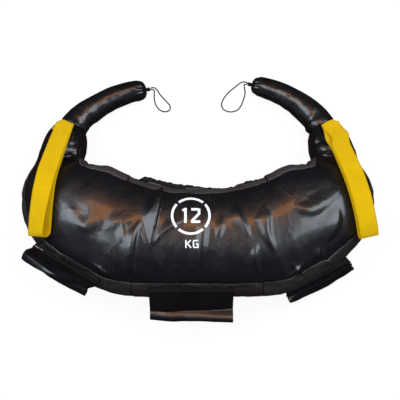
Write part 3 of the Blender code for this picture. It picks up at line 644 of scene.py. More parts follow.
class Material(Enum):
    """Every finish of the bag."""

    LEATHER = LeatherFinish("leather_glossy")
    PRINTED = LeatherFinish("leather_printed", printed=True)
    GUSSET = LeatherFinish(
        "leather_gusset", (0.0135, 0.0125, 0.0135), roughness=0.38, coat=0.10, crumple=0.5
    )
    WELT = LeatherFinish(
        "leather_welt", (0.0035, 0.0035, 0.004), roughness=0.55, coat=0.0, crumple=0.3, gloss=0.12
    )
    MATTE = LeatherFinish(
        "leather_matte", (0.026, 0.023, 0.0235), roughness=0.44, coat=0.04, crumple=0.5
    )
    WEBBING = ClothFinish(
        "webbing_yellow", (0.58, 0.375, 0.001), (0.33, 0.20, 0.0005),
        roughness=0.85, pitch=(0.0030, 0.0024), depth=0.0004,
    )
    CORD = ClothFinish(
        "cord_black", (0.016, 0.016, 0.018), (0.006, 0.006, 0.007),
        roughness=0.55, pitch=(0.0016, 0.0016), depth=0.0002, source="Object",
    )
    TAPE = ClothFinish(
        "tape_black", (0.015, 0.015, 0.015), (0.006, 0.006, 0.006),
        roughness=0.9, pitch=(0.0014, 0.0014), depth=0.0003,
    )
    POUCH = ClothFinish(
        "pouch_canvas", (0.55, 0.53, 0.48), (0.45, 0.43, 0.38),
        roughness=0.9, pitch=(0.0012, 0.0012), depth=0.0002, source="Object",
    )
    WADDING = ClothFinish(
        "wadding_white", (0.72, 0.70, 0.66), (0.6, 0.58, 0.55),
        roughness=0.95, pitch=(0.004, 0.004), depth=0.0005, source="Object",
    )

    @property
    def made(self) -> bpy.types.Material:
        """The material itself, made once."""
        return bpy.data.materials.get(self.value.name) or self.value.build()


@dataclass
class Surface:
    """A grid of points that becomes one mesh.

    Args:
        points: rows of points, as an array of rows, columns and 3.
        rows_meet: whether the last row meets the first.
        columns_meet: whether the last column meets the first.
        thickness: what a Solidify puts behind the faces, or 0.
        offset: where that thickness lies: -1 behind the faces, 0 round them.
    """

    points: np.ndarray
    rows_meet: bool = False
    columns_meet: bool = False
    thickness: float = 0.0
    offset: float = -1.0

    def lengths(self) -> tuple[np.ndarray, np.ndarray]:
        """Measures the middle row and the middle column.

        Returns:
            Distances along the row, and distances down the column, from their starts.
        """
        found = []
        for line in (self.points[len(self.points) // 2], self.points[:, self.points.shape[1] // 2]):
            steps = np.linalg.norm(np.diff(line, axis=0), axis=1)
            found.append(np.concatenate([[0.0], np.cumsum(steps)]))
        return found[0], found[1]

    def build(self, name: str, material: Material) -> bpy.types.Object:
        """Makes the object.

        Args:
            name: its name.
            material: its finish.

        Returns:
            The object, in the scene, with a UV map in metres.
        """
        rows, columns = self.points.shape[:2]
        builder = bmesh.new()
        builder.loops.layers.uv.new("metres")
        bmesh.ops.create_grid(
            builder, x_segments=columns - 1, y_segments=rows - 1, size=0.5, calc_uvs=True
        )
        mesh = bpy.data.meshes.new(name)
        builder.to_mesh(mesh)
        builder.free()
        mesh.vertices.foreach_set("co", self.points.reshape(-1).astype(np.float32))
        layer = mesh.uv_layers["metres"]
        flat = np.empty(len(mesh.loops) * 2, np.float32)
        layer.data.foreach_get("uv", flat)
        across, down = self.lengths()
        uv = flat.reshape(-1, 2)
        uv[:, 0] = np.interp(uv[:, 0], np.linspace(0, 1, columns), across)
        uv[:, 1] = np.interp(uv[:, 1], np.linspace(0, 1, rows), down)
        layer.data.foreach_set("uv", uv.reshape(-1))
        mesh.update()
        if self.rows_meet or self.columns_meet:
            merged = bmesh.new()
            merged.from_mesh(mesh)
            bmesh.ops.remove_doubles(merged, verts=merged.verts, dist=1e-6)
            merged.to_mesh(mesh)
            merged.free()
        mesh.materials.append(material.made)
        mesh.shade_smooth()
        made = bpy.data.objects.new(name, mesh)
        bpy.context.scene.collection.objects.link(made)
        if self.thickness:
            solid = made.modifiers.new("thickness", "SOLIDIFY")
            solid.thickness = self.thickness
            solid.offset = self.offset
        return made


def close(points: np.ndarray, axis: int) -> np.ndarray:
    """Repeats the first row or column of a grid after its last."""
    return np.concatenate([points, np.take(points, [0], axis)], axis)


class Photo:
    """The photograph's camera: it places the scene's, and finds where a point is in the picture."""

    def __init__(self) -> None:
        """Works out the camera's place and axes."""
        tilt = math.radians(CAMERA_ELEVATION)
        self.forward = np.array((0, math.cos(tilt), -math.sin(tilt)))
        self.right = np.array((1.0, 0.0, 0.0))
        self.up = np.cross(self.right, self.forward)
        self.place = np.array(CAMERA_AIM) - self.forward * CAMERA_DISTANCE

    def pixels(self, points: np.ndarray) -> np.ndarray:
        """Where points are in the picture.

        Args:
            points: an array whose last axis is x, y and z.

        Returns:
            (across, down) in pixels, from the picture's top left corner.
        """
        seen = points - self.place
        scale = CAMERA_LENS / CAMERA_SENSOR * PHOTO_SIZE / (seen @ self.forward)
        middle = PHOTO_SIZE / 2
        return np.stack([middle + seen @ self.right * scale, middle - seen @ self.up * scale], -1)

    def add_camera(self) -> None:
        """Puts the camera in the scene."""
        data = bpy.data.cameras.new("camera")
        data.lens = CAMERA_LENS
        data.sensor_width = CAMERA_SENSOR
        made = bpy.data.objects.new("camera", data)
        rows = Matrix((self.right, self.up, -self.forward)).transposed().to_4x4()
        made.matrix_world = Matrix.Translation(self.place) @ rows
        bpy.context.scene.collection.objects.link(made)
        bpy.context.scene.camera = made


class Bag:
    """The part's own curves, read many points at a time."""

    def __init__(self) -> None:
        """Reads both halves of the tables as one."""
        self.rows = np.vstack([self.half("left")[:0:-1] * (-1, 1, 1, 1), self.half("right")])
        leans = np.array(LEANS, float)[:, None]
        self.leans = np.vstack([-leans[:0:-1], leans])

    @staticmethod
    def half(label: str) -> np.ndarray:
        """The sections at each whole station of one half, as if it were the right.

        Args:
            label: "left" or "right".

        Returns:
            Rows of x, y, half depth and half height.
        """
        depth_over = BELLY_HALF_DEPTH - SHOULDER_RADIUS
        height_over = BELLY_HALF_HEIGHT - SHOULDER_RADIUS
        rows = [
            (across * LOBE_REACH, along * LOBE_RISE, SHOULDER_RADIUS + deep * depth_over,
             SHOULDER_RADIUS + high * height_over)
            for across, along, deep, high in BODY_SHARES
        ]
        root_x, root_y = rows[-1][:2]
        for inwards, along, wide in SHOULDER_SHARES:
            radius = CUFF_RADIUS + (SHOULDER_RADIUS - CUFF_RADIUS) * wide
            rows.append((root_x - inwards * HORN_REACH, root_y + along * HORN_RISE, radius, radius))
        for inwards, along in GRIP_SPINES_SHARES[label]:
            x, y = root_x - inwards * HORN_REACH, root_y + along * HORN_RISE
            rows.append((x, y, CUFF_RADIUS, CUFF_RADIUS))
        return np.array(rows)

    def spine(self, stations: np.ndarray) -> np.ndarray:
        """The sections at any stations.

        Args:
            stations: signed stations, negative at the left.

        Returns:
            x, y, half depth and half height at each.
        """
        found = smooth_through(self.rows, np.asarray(stations, float) + TIP_STATION)
        found[..., :2] += np.array(FLOOR_REST)[:2]
        return found

    def outward(self, stations: np.ndarray) -> np.ndarray:
        """The level direction that each section faces.

        Args:
            stations: signed stations.

        Returns:
            A unit vector for each.
        """
        stations = np.asarray(stations, float)
        lean = np.radians(smooth_through(self.leans, stations + CUFF_STATION)[..., 0])
        by_lean = np.stack([np.sin(lean), -np.cos(lean), np.zeros_like(lean)], -1)
        ahead = self.spine(stations + 0.001)[..., :2] - self.spine(stations - 0.001)[..., :2]
        ahead = unit(ahead)
        by_spine = np.stack([ahead[..., 1], -ahead[..., 0], np.zeros_like(lean)], -1)
        return np.where(np.abs(stations)[..., None] <= CUFF_STATION, by_lean, by_spine)

    def frame(self, station: float) -> tuple[np.ndarray, np.ndarray, np.ndarray, float, float]:
        """One section's place and directions.

        Args:
            station: its signed station.

        Returns:
            Its point on the floor, the tangent to the right, the direction outward, half its depth
            and half its height.
        """
        row = self.spine(np.array(station))
        outward = self.outward(np.array(station))
        tangent = np.array((-outward[1], outward[0], 0.0))
        return np.array((row[0], row[1], 0.0)), tangent, outward, float(row[2]), float(row[3])

    @staticmethod
    def settle(stations: np.ndarray) -> np.ndarray:
        """How far sections sink into the flat that they lie on."""
        share = np.clip((BODY_END - np.abs(stations)) / BODY_END, 0, 1)
        return HORN_SETTLE + (SETTLE - HORN_SETTLE) * np.minimum(2 * share, 1)

    def skin(self, stations: np.ndarray, degrees: np.ndarray) -> np.ndarray:
        """Points of the outer skin.

        Args:
            stations: signed stations.
            degrees: angles round the section, from the outward side up.

        Returns:
            A row for each angle and a column for each station.
        """
        stations, degrees = np.asarray(stations, float), np.asarray(degrees, float)
        row = self.spine(stations)
        outward = self.outward(stations)
        turn = np.radians(degrees)[:, None]
        power = 2 / SECTION_POWER
        out = row[:, 2] * np.sign(np.cos(turn)) * np.abs(np.cos(turn)) ** power
        up = row[:, 3] * np.sign(np.sin(turn)) * np.abs(np.sin(turn)) ** power
        level = row[:, 3] - self.settle(stations)
        points = np.empty((len(degrees), len(stations), 3))
        points[..., :2] = row[:, :2] + outward[:, :2] * out[..., None]
        points[..., 2] = np.maximum(level + up, 0)
        return points


def grid_normals(points: np.ndarray, rows_meet: bool = False) -> np.ndarray:
    """Unit normals of a grid, on the side where its rows run to the left of its columns.

    Args:
        points: rows and columns of points.
        rows_meet: whether the last row is followed by the first.

    Returns:
        One normal for each point.
    """
    if rows_meet:
        padded = np.concatenate([points[-1:], points, points[:1]])
        down = (padded[2:] - padded[:-2]) / 2
    else:
        down = np.gradient(points, axis=0)
    return unit(np.cross(np.gradient(points, axis=1), down))


@dataclass(frozen=True)
class Fold:
    """A fold of the leather, placed by the photograph's pixels.

    Args:
        line: (across, down, width before it, width after it, height in millimetres) at points
            along the crest. Before is left of a line that runs down the picture, and below one
            that runs to the right.
        soft: whether the crest is rounded.
    """

    line: tuple[tuple[float, float, float, float, float], ...]
    soft: bool = False

    def heights(self, pixels: np.ndarray) -> np.ndarray:
        """How much the fold lifts each point, in metres.

        Args:
            pixels: where the points are in the picture.

        Returns:
            The heights.
        """
        line = np.array(self.line, float)
        fine = smooth_through(line, np.linspace(0, len(line) - 1, (len(line) - 1) * 6 + 1))
        reach = max(fine[:, 2].max(), fine[:, 3].max()) + 2
        lifted = np.zeros(pixels.shape[:-1])
        low, high = fine[:, :2].min(0) - reach, fine[:, :2].max(0) + reach
        near = np.all((pixels > low) & (pixels < high), axis=-1)
        spots = pixels[near]
        best = np.full(len(spots), np.inf)
        found = np.zeros(len(spots))
        for start, end in zip(fine, fine[1:]):
            way = end[:2] - start[:2]
            long = max(float(way @ way), 1e-9)
            share = np.clip((spots - start[:2]) @ way / long, 0, 1)
            off = spots - start[:2] - share[:, None] * way
            distance = np.linalg.norm(off, axis=1)
            side = way[0] * off[:, 1] - way[1] * off[:, 0]
            row = start[2:] + (end[2:] - start[2:]) * share[:, None]
            width = np.where(side > 0, row[:, 0], row[:, 1])
            fall = np.clip(1 - distance / np.maximum(width, 0.3), 0, 1)
            height = row[:, 2] * (smooth_step(0, 1, fall) if self.soft else fall**1.25)
            closer = distance < best
            best = np.where(closer, distance, best)
            found = np.where(closer, height, found)
        lifted[near] = found * MM
        return lifted


@dataclass(frozen=True)
class Facet:
    """A flat three-cornered fold.

    Args:
        corners: each corner's place in the picture, in pixels, and its height in millimetres.
        falls: how far the leather takes to fall away beyond each edge, in pixels, from the edge
            between the first two corners on.
    """

    corners: tuple[tuple[float, float, float], ...]
    falls: tuple[float, float, float]

    def heights(self, pixels: np.ndarray) -> np.ndarray:
        """Heights over the leather, in metres.

        Args:
            pixels: where each point is in the picture.

        Returns:
            A height for each point.
        """
        corners = np.array(self.corners)
        square = np.column_stack([corners[:, :2], np.ones(3)])
        places = np.concatenate([pixels, np.ones((*pixels.shape[:-1], 1))], -1)
        shares = places @ np.linalg.inv(square)
        heights = np.clip(shares @ corners[:, 2], 0, corners[:, 2].max())
        twice_area = abs(float(np.linalg.det(square)))
        for first, fall in enumerate(self.falls):
            way = corners[(first + 1) % 3, :2] - corners[first, :2]
            beyond = -shares[..., (first + 2) % 3] * twice_area / np.linalg.norm(way)
            heights = heights * (1 - np.clip(beyond / fall, 0, 1)) ** 1.3
        return heights * MM


# The folds that the photograph shows, by their places in it
FOLDS: tuple[Fold | Facet, ...] = (
    Facet(((161, 197, 13), (143, 220, 0.3), (150.6, 246, 1.0)), (9, 3, 1.6)),
    Fold(
        ((140.5, 224, 1.5, 2, 0.0), (143, 233, 2, 2, 1.5), (147.5, 244, 2, 2, 1.5), (150, 252, 1.5, 2, 0.0))
    ),
    Fold(((152, 246, 2, 4, 0.0), (160, 236, 2.5, 6, 2.2), (172, 226, 3, 9, 2.4), (186, 219, 4, 8, 0.0))),
    Fold(
        ((141, 220, 3, 2, 0.0), (133, 238, 11, 5, 4.4), (131, 262, 11, 5, 4.4), (136, 281, 5, 3, 0.0)), True
    ),
    Fold(((125, 220, 3, 2, 0.0), (124, 232, 10, 5, 1.6), (121, 244, 4, 3, 0.0)), True),
    Fold(((76, 220, 6, 12, 0.0), (88, 226, 9, 24, 2.6), (104, 216, 9, 18, 0.0)), True),
    Fold(((102, 226, 5, 8, 0.0), (117, 223, 8, 14, 1.8), (136, 220, 4, 8, 0.0)), True),
    Fold(((204, 204, 4, 3, 0.0), (204, 226, 9, 6, 2.0), (202, 250, 8, 6, 1.6), (199, 268, 3, 3, 0.0)), True),
    Fold(((236, 205, 4, 3, 0.0), (239, 214, 13, 4, 2.6), (246, 228, 6, 4, 2.0), (250, 238, 3, 3, 0.0))),
    Fold(
        ((262, 206, 5, 3, 0.0), (267, 216, 16, 5, 2.8), (268, 232, 9, 5, 2.8), (276, 254, 3, 3, 0.0)), True
    ),
    Fold(((257, 243, 3, 2, 0.0), (256, 258, 8, 4, 2.8), (260, 275, 3, 2, 0.0)), True),
    Fold(((222, 214, 4, 2, 0.0), (221, 228, 8, 5, 1.8), (216, 242, 3, 3, 0.0)), True),
    Fold(
        ((293, 205, 4, 6, 0.0), (310, 210, 8, 14, 3.4), (328, 200, 8, 14, 2.6), (344, 185, 3, 4, 0.0)), True
    ),
    Fold(((339, 205, 8, 3, 0.0), (336, 226, 24, 8, 3.6), (320, 247, 8, 4, 0.0)), True),
    Fold(((320, 247, 3, 2, 0.0), (320, 255, 9, 3, 2.6), (318, 263, 3, 2, 0.0))),
    Fold(((64, 196, 8, 6, 0.0), (76, 220, 18, 10, 1.8), (100, 247, 8, 6, 0.0)), True),
    Fold(((284, 281, 2, 2, 0.0), (297, 271, 4, 3, 3.6), (306, 262, 2, 2, 0.0))),
    Fold(((292, 262, 2, 2, 0.0), (299, 272, 3, 4, 3.2), (314, 279, 2, 2, 0.0))),
    Fold(((310, 275, 2, 2, 0.0), (326, 263, 4, 3, 3.6), (341, 249, 2, 2, 0.0))),
    Fold(((323, 250, 2, 2, 0.0), (329, 262, 3, 4, 3.2), (342, 268, 2, 2, 0.0))),
    Fold(((86, 260, 2, 2, 0.0), (100, 270, 4, 3, 2.6), (120, 281, 2, 2, 0.0))),
    Fold(((96, 264, 2, 2, 0.0), (104, 274, 3, 3, 2.2), (107, 286, 2, 2, 0.0))),
    Fold(((161, 262, 2, 1, 0.0), (162, 268, 4, 3, 1.4), (166, 277, 2, 2, 0.0))),
    Fold(((84, 141, 2, 2, 0.0), (76, 150, 4, 3, 3.0), (80, 166, 2, 2, 0.0))),
    Fold(((66, 150, 2, 2, 0.0), (78, 163, 3, 4, 3.0), (88, 168, 2, 2, 0.0))),
    Fold(((82, 128, 2, 2, 0.0), (74, 134, 3, 4, 2.4), (70, 144, 2, 2, 0.0))),
    Fold(((312, 143, 2, 2, 0.0), (320, 154, 4, 3, 3.0), (318, 168, 2, 2, 0.0))),
    Fold(((306, 168, 2, 2, 0.0), (318, 160, 3, 4, 2.8), (330, 150, 2, 2, 0.0))),
    Fold(((309, 130, 2, 2, 0.0), (316, 138, 3, 4, 2.4), (312, 150, 2, 2, 0.0))),
)


class Skin:
    """The leather of the body and the shoulders as one skin, inflated and folded.

    Args:
        bag: the part's curves.
        photo: the photograph's camera, for the folds' places.
    """

    STATION_STEP = 1 / 32
    DEGREE_STEP = 1.5
    # Every fourth station and every second angle go into the cloth simulation
    COARSE = 4
    COARSE_ROUND = 2
    PRESSURE = 4.0
    FRAMES = 22
    GROWTH = 0.035
    FURTHEST = 7 * MM
    # How far the blown leather may move in and out: on the shoulders, and on the body
    SHOULDER_LIMITS = (-0.8 * MM, 0.3 * MM)
    BODY_LIMITS = (-3.0 * MM, 2.2 * MM)

    def __init__(self, bag: Bag, photo: Photo) -> None:
        """Makes the plain skin, inflates it and adds its relief."""
        self.bag, self.photo = bag, photo
        count = round(2 * CUFF_STATION / self.STATION_STEP)
        self.stations = np.linspace(-CUFF_STATION, CUFF_STATION, count + 1)
        self.degrees = np.arange(0, 360, self.DEGREE_STEP)
        self.base = bag.skin(self.stations, self.degrees)
        self.normals = grid_normals(self.base, True)
        middle = np.linalg.norm(np.diff(self.bag.spine(self.stations)[:, :2], axis=0), axis=1)
        self.run = np.concatenate([[0.0], np.cumsum(middle)])
        self.points = self.base + self.inflation()
        self.points += self.normals * self.relief()[..., None]
        self.points[..., 2] = np.maximum(self.points[..., 2], 0.0)

    def seam_distance(self) -> np.ndarray:
        """How far each point is from the nearest lengthwise seam.

        Returns:
            The distances in metres.
        """
        reach = self.bag.spine(self.stations)[:, 3]
        seams = np.array((SEAM_ANGLE, 180 - SEAM_ANGLE, 180 + SEAM_ANGLE, 360 - SEAM_ANGLE))
        turn = np.abs(self.degrees[:, None] - seams).min(1)
        return np.radians(turn)[:, None] * reach[None, :] * 1.15

    def inflation(self) -> np.ndarray:
        """How the leather moves when it is blown up a little between its seams.

        Returns:
            A vector for each point, along its normal.
        """
        rows, columns = slice(None, None, self.COARSE_ROUND), slice(None, None, self.COARSE)
        coarse = self.base[rows, columns]
        moved = self.blow(coarse, self.held(coarse, rows, columns))
        normals = self.normals[rows, columns]
        outwards = (moved * normals).sum(-1, keepdims=True)
        shoulder = np.abs(self.stations[columns]) > BODY_END - 1
        least, most = (
            np.where(shoulder, *pair)[:, None] for pair in zip(self.SHOULDER_LIMITS, self.BODY_LIMITS)
        )
        outwards = np.clip(outwards, least, most)
        for _ in range(2):
            outwards[:, 1:-1] = (outwards[:, :-2] + 2 * outwards[:, 1:-1] + outwards[:, 2:]) / 4
        moved = normals * outwards
        spread = smooth_through(
            moved.transpose(1, 0, 2).reshape(moved.shape[1], -1),
            np.arange(len(self.stations)) / self.COARSE,
        ).reshape(len(self.stations), moved.shape[0], 3).transpose(1, 0, 2)
        padded = np.concatenate([spread[-2:], spread, spread[:3]])
        places = 2 + np.arange(len(self.degrees)) / self.COARSE_ROUND
        return smooth_through(padded.reshape(len(padded), -1), places).reshape(self.base.shape)

    def held(self, coarse: np.ndarray, rows: slice, columns: slice) -> np.ndarray:
        """How firmly the coarse skin is held: at its seams, at the cuffs and on the floor.

        Args:
            coarse: the coarse skin's points.
            rows: which of the skin's angles it has.
            columns: which of its stations.

        Returns:
            A weight from 0 to 1 for each point.
        """
        stations = np.abs(self.stations[columns])
        cuffs = smooth_step(0.35, 0.0, CUFF_STATION - stations)
        seams = smooth_step(0.2, 0.0, np.abs(stations - BODY_END))
        weights = smooth_step(4 * MM, 0.0, self.seam_distance()[rows, columns])
        weights = np.maximum(weights, np.maximum(cuffs, seams)[None, :])
        return np.maximum(weights, smooth_step(12 * MM, 4 * MM, coarse[..., 2]))

    def blow(self, coarse: np.ndarray, held: np.ndarray) -> np.ndarray:
        """Blows the coarse skin up as cloth.

        Args:
            coarse: its points.
            held: how firmly each is held.

        Returns:
            How far each point moves, up to a cap.
        """
        made = Surface(close(coarse, 0), rows_meet=True).build("blown_skin", Material.LEATHER)
        group = made.vertex_groups.new(name="held")
        for index, weight in enumerate(held.reshape(-1)):
            if weight > 0.01:
                group.add([index], float(weight), "REPLACE")
        cloth = made.modifiers.new("cloth", "CLOTH")
        cloth.settings.quality = 5
        cloth.settings.vertex_group_mass = "held"
        cloth.settings.use_pressure = True
        cloth.settings.uniform_pressure_force = self.PRESSURE
        cloth.settings.shrink_min = -self.GROWTH
        cloth.settings.bending_stiffness = 0.4
        cloth.settings.effector_weights.gravity = 0
        cloth.point_cache.frame_end = self.FRAMES
        scene = bpy.context.scene
        for number in range(1, self.FRAMES + 1):
            scene.frame_set(number)
        graph = bpy.context.evaluated_depsgraph_get()
        mesh = made.evaluated_get(graph).to_mesh()
        flat = np.empty(len(mesh.vertices) * 3, np.float32)
        mesh.vertices.foreach_get("co", flat)
        moved = flat.reshape(coarse.shape) - coarse
        scene.frame_set(1)
        bpy.data.objects.remove(made)
        length = np.linalg.norm(moved, axis=-1, keepdims=True)
        LOG.info("blown skin moved up to %.1f mm", 1000 * float(length.max()))
        return moved * np.minimum(1, self.FURTHEST / np.maximum(length, 1e-9))

    def relief(self) -> np.ndarray:
        """Heights of the wrinkles, puckers and folds over the whole skin.

        Returns:
            A height for each point, in metres.
        """
        rng = np.random.default_rng(11)
        run = np.broadcast_to(self.run, self.base.shape[:2])
        reach = self.bag.spine(self.stations)[:, 3]
        round_it = np.radians(self.degrees)[:, None] * reach[None, :]
        seam = self.seam_distance()
        top = np.clip(self.normals[..., 2] * 1.3 + 0.35, 0, 1)
        sway = 0.02 * lattice(rng, run, round_it, (0.09, 0.06))
        broad = lattice(rng, run + sway, round_it, (0.048, 0.085))
        waves = lattice(rng, run + sway, round_it, (0.021, 0.09))
        fine = lattice(rng, run + sway, round_it, (0.010, 0.06))
        heights = MM * (1.0 * broad + 0.25 * waves + 0.06 * fine)
        pucker = lattice(rng, run + sway / 3, round_it, (0.0085, 0.05))
        pucker += 0.5 * lattice(rng, run, round_it, (0.005, 0.04))
        heights += 0.55 * MM * pucker * np.exp(-((seam / 0.020) ** 2))
        crinkle = lattice(rng, run + sway, round_it, (0.017, 0.013))
        crinkle += 0.5 * lattice(rng, run, round_it, (0.008, 0.007))
        heights += 0.7 * MM * crinkle * smooth_step(BODY_END, BODY_END + 0.7, np.abs(self.stations))
        heights += self.crumple(run, round_it)
        fade = smooth_step(330, 360, self.degrees)[:, None]
        heights = heights * (1 - fade) + heights[0] * fade
        heights *= 0.2 + 0.8 * top
        pixels = self.photo.pixels(self.base)
        facing = smooth_step(0.0, 0.35, self.normals[..., 2])
        for fold in FOLDS:
            heights += fold.heights(pixels) * facing
        groove = smooth_step(0.008, 0.0, seam) * 0.6 * MM
        return heights - groove

    def crumple(self, run: np.ndarray, round_it: np.ndarray) -> np.ndarray:
        """Heights of the sharp slanting creases in the gussets.

        Args:
            run: each point's distance along the bag.
            round_it: each point's distance round its section.

        Returns:
            A height for each point, in metres.
        """
        rng = np.random.default_rng(12)
        slant = 0.8 * round_it
        creases = np.abs(lattice(rng, run + slant, round_it, (0.024, 0.020)))
        creases += 0.6 * np.abs(lattice(rng, run - slant, round_it, (0.013, 0.012)))
        from_outer = np.minimum(self.degrees, 360 - self.degrees)[:, None]
        outer = smooth_step(SEAM_ANGLE + 4, SEAM_ANGLE - 6, from_outer)
        inner = smooth_step(SEAM_ANGLE + 4, SEAM_ANGLE - 6, 180 - from_outer)
        body = smooth_step(BODY_END, BODY_END - 0.6, np.abs(self.stations))
        return 3.4 * MM * (0.3 - creases) * (outer + 0.4 * inner) * body

    def patch(self, stations: tuple[float, float], degrees: tuple[float, float]) -> np.ndarray:
        """The skin between two stations and two angles.

        Args:
            stations: the first and last, from left to right.
            degrees: the first and last, upwards. They may pass 360.

        Returns:
            Rows by angle and columns by station.
        """
        first, last = (round((s + CUFF_STATION) / self.STATION_STEP) for s in stations)
        low, high = (round(d / self.DEGREE_STEP) for d in degrees)
        rows = np.arange(low, high + 1) % len(self.degrees)
        return self.points[rows][:, first : last + 1].copy()

    def tree(self) -> BVHTree:
        """The skin, for finding the nearest place on it.

        Returns:
            The search tree of every second point.
        """
        points = close(self.points[::2, ::2], 0)
        made = Surface(points, rows_meet=True).build("skin_probe", Material.LEATHER)
        graph = bpy.context.evaluated_depsgraph_get()
        found = BVHTree.FromObject(made, graph)
        bpy.data.objects.remove(made)
        return found


@dataclass(frozen=True)
class Panel:
    """A sewn leather panel of the body.

    Args:
        name: the CAD node that it stands for.
        stations: where it begins and ends along the bag.
        degrees: where it begins and ends round the section.
        material: its finish.
    """

    name: str
    stations: tuple[float, float]
    degrees: tuple[float, float]
    material: Material

    ROLL = 2.5 * MM
    ROLL_DEPTH = 0.6 * MM

    def build(self, skin: Skin) -> bpy.types.Object:
        """Cuts the panel from the skin and rolls its edges in.

        Args:
            skin: the inflated skin.

        Returns:
            The panel.
        """
        points = skin.patch(self.stations, self.degrees)
        normals = grid_normals(points)
        for axis in (0, 1):
            lines = points.swapaxes(0, axis)
            for near, far in ((0, 1), (-1, -2)):
                lines[near] += 0.12 * (lines[far] - lines[near])
        edge = np.minimum(self.from_edge(points, 0), self.from_edge(points, 1))
        points -= normals * (self.ROLL_DEPTH * smooth_step(self.ROLL, 0, edge))[..., None]
        points[..., 2] = np.maximum(points[..., 2], 0.0)
        made = Surface(points, thickness=LEATHER).build(f"new_{self.name}", self.material)
        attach(made, "body")
        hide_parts(self.name)
        LOG.info("%s: %d points", self.name, points.shape[0] * points.shape[1])
        return made

    @staticmethod
    def from_edge(points: np.ndarray, axis: int) -> np.ndarray:
        """Each point's distance from the nearer edge along one way of the grid.

        Args:
            points: rows and columns of points.
            axis: 0 along the columns or 1 along the rows.

        Returns:
            The distances in metres.
        """
        steps = np.linalg.norm(np.diff(points, axis=axis), axis=-1)
        start = np.cumsum(steps, axis)
        zero = np.zeros_like(np.take(steps, [0], axis))
        start = np.concatenate([zero, start], axis)
        return np.minimum(start, np.take(start, [-1], axis) - start)


WHOLE_BODY = (-BODY_END, BODY_END)
OUTER_SIDE = (-SEAM_ANGLE, SEAM_ANGLE)
INNER_SIDE = (180 - SEAM_ANGLE, 180 + SEAM_ANGLE)
LEFT_SEAM, RIGHT_SEAM = -GUSSET_SEAM_STATION, GUSSET_SEAM_STATION
PANELS = (
    Panel("front_panel", WHOLE_BODY, (SEAM_ANGLE, 180 - SEAM_ANGLE), Material.PRINTED),
    Panel("back_panel", WHOLE_BODY, (180 + SEAM_ANGLE, 360 - SEAM_ANGLE), Material.LEATHER),
    Panel("outer_gusset_left", (-BODY_END, LEFT_SEAM), OUTER_SIDE, Material.GUSSET),
    Panel("outer_gusset_middle", (LEFT_SEAM, RIGHT_SEAM), OUTER_SIDE, Material.GUSSET),
    Panel("outer_gusset_right", (RIGHT_SEAM, BODY_END), OUTER_SIDE, Material.GUSSET),
    Panel("inner_gusset_left", (-BODY_END, -MOUTH_STATION), INNER_SIDE, Material.MATTE),
    Panel("inner_gusset_right", (MOUTH_STATION, BODY_END), INNER_SIDE, Material.MATTE),
)


# How far each lip stands out, in millimetres, at stations along the mouth
FRONT_LIP = (
    (-2.0, 0.3), (-1.75, 0.4), (-1.5, 0.8), (-1.375, 3.6), (-1.25, 5.7), (-1.125, 4.5), (-1.0, 2.6),
    (-0.85, 1.0), (-0.6, 0.5), (-0.45, 0.9), (-0.3, 3.2), (-0.125, 4.9), (0.0, 2.8), (0.15, 1.1),
    (0.6, 0.5), (1.0, 1.6), (1.3, 0.6), (1.55, 1.2), (1.75, 0.5), (2.0, 0.3),
)
BACK_LIP = (
    (-2.0, 0.3), (-1.75, 4.0), (-1.5, 12.1), (-1.25, 13.7), (-1.0, 12.4), (-0.75, 11.8), (-0.5, 10.8),
    (-0.25, 10.6), (0.0, 8.3), (0.25, 5.3), (0.5, 3.9), (0.75, 2.2), (1.0, 3.0), (1.25, 4.4),
    (1.5, 5.8), (1.75, 2.8), (2.0, 0.3),
)


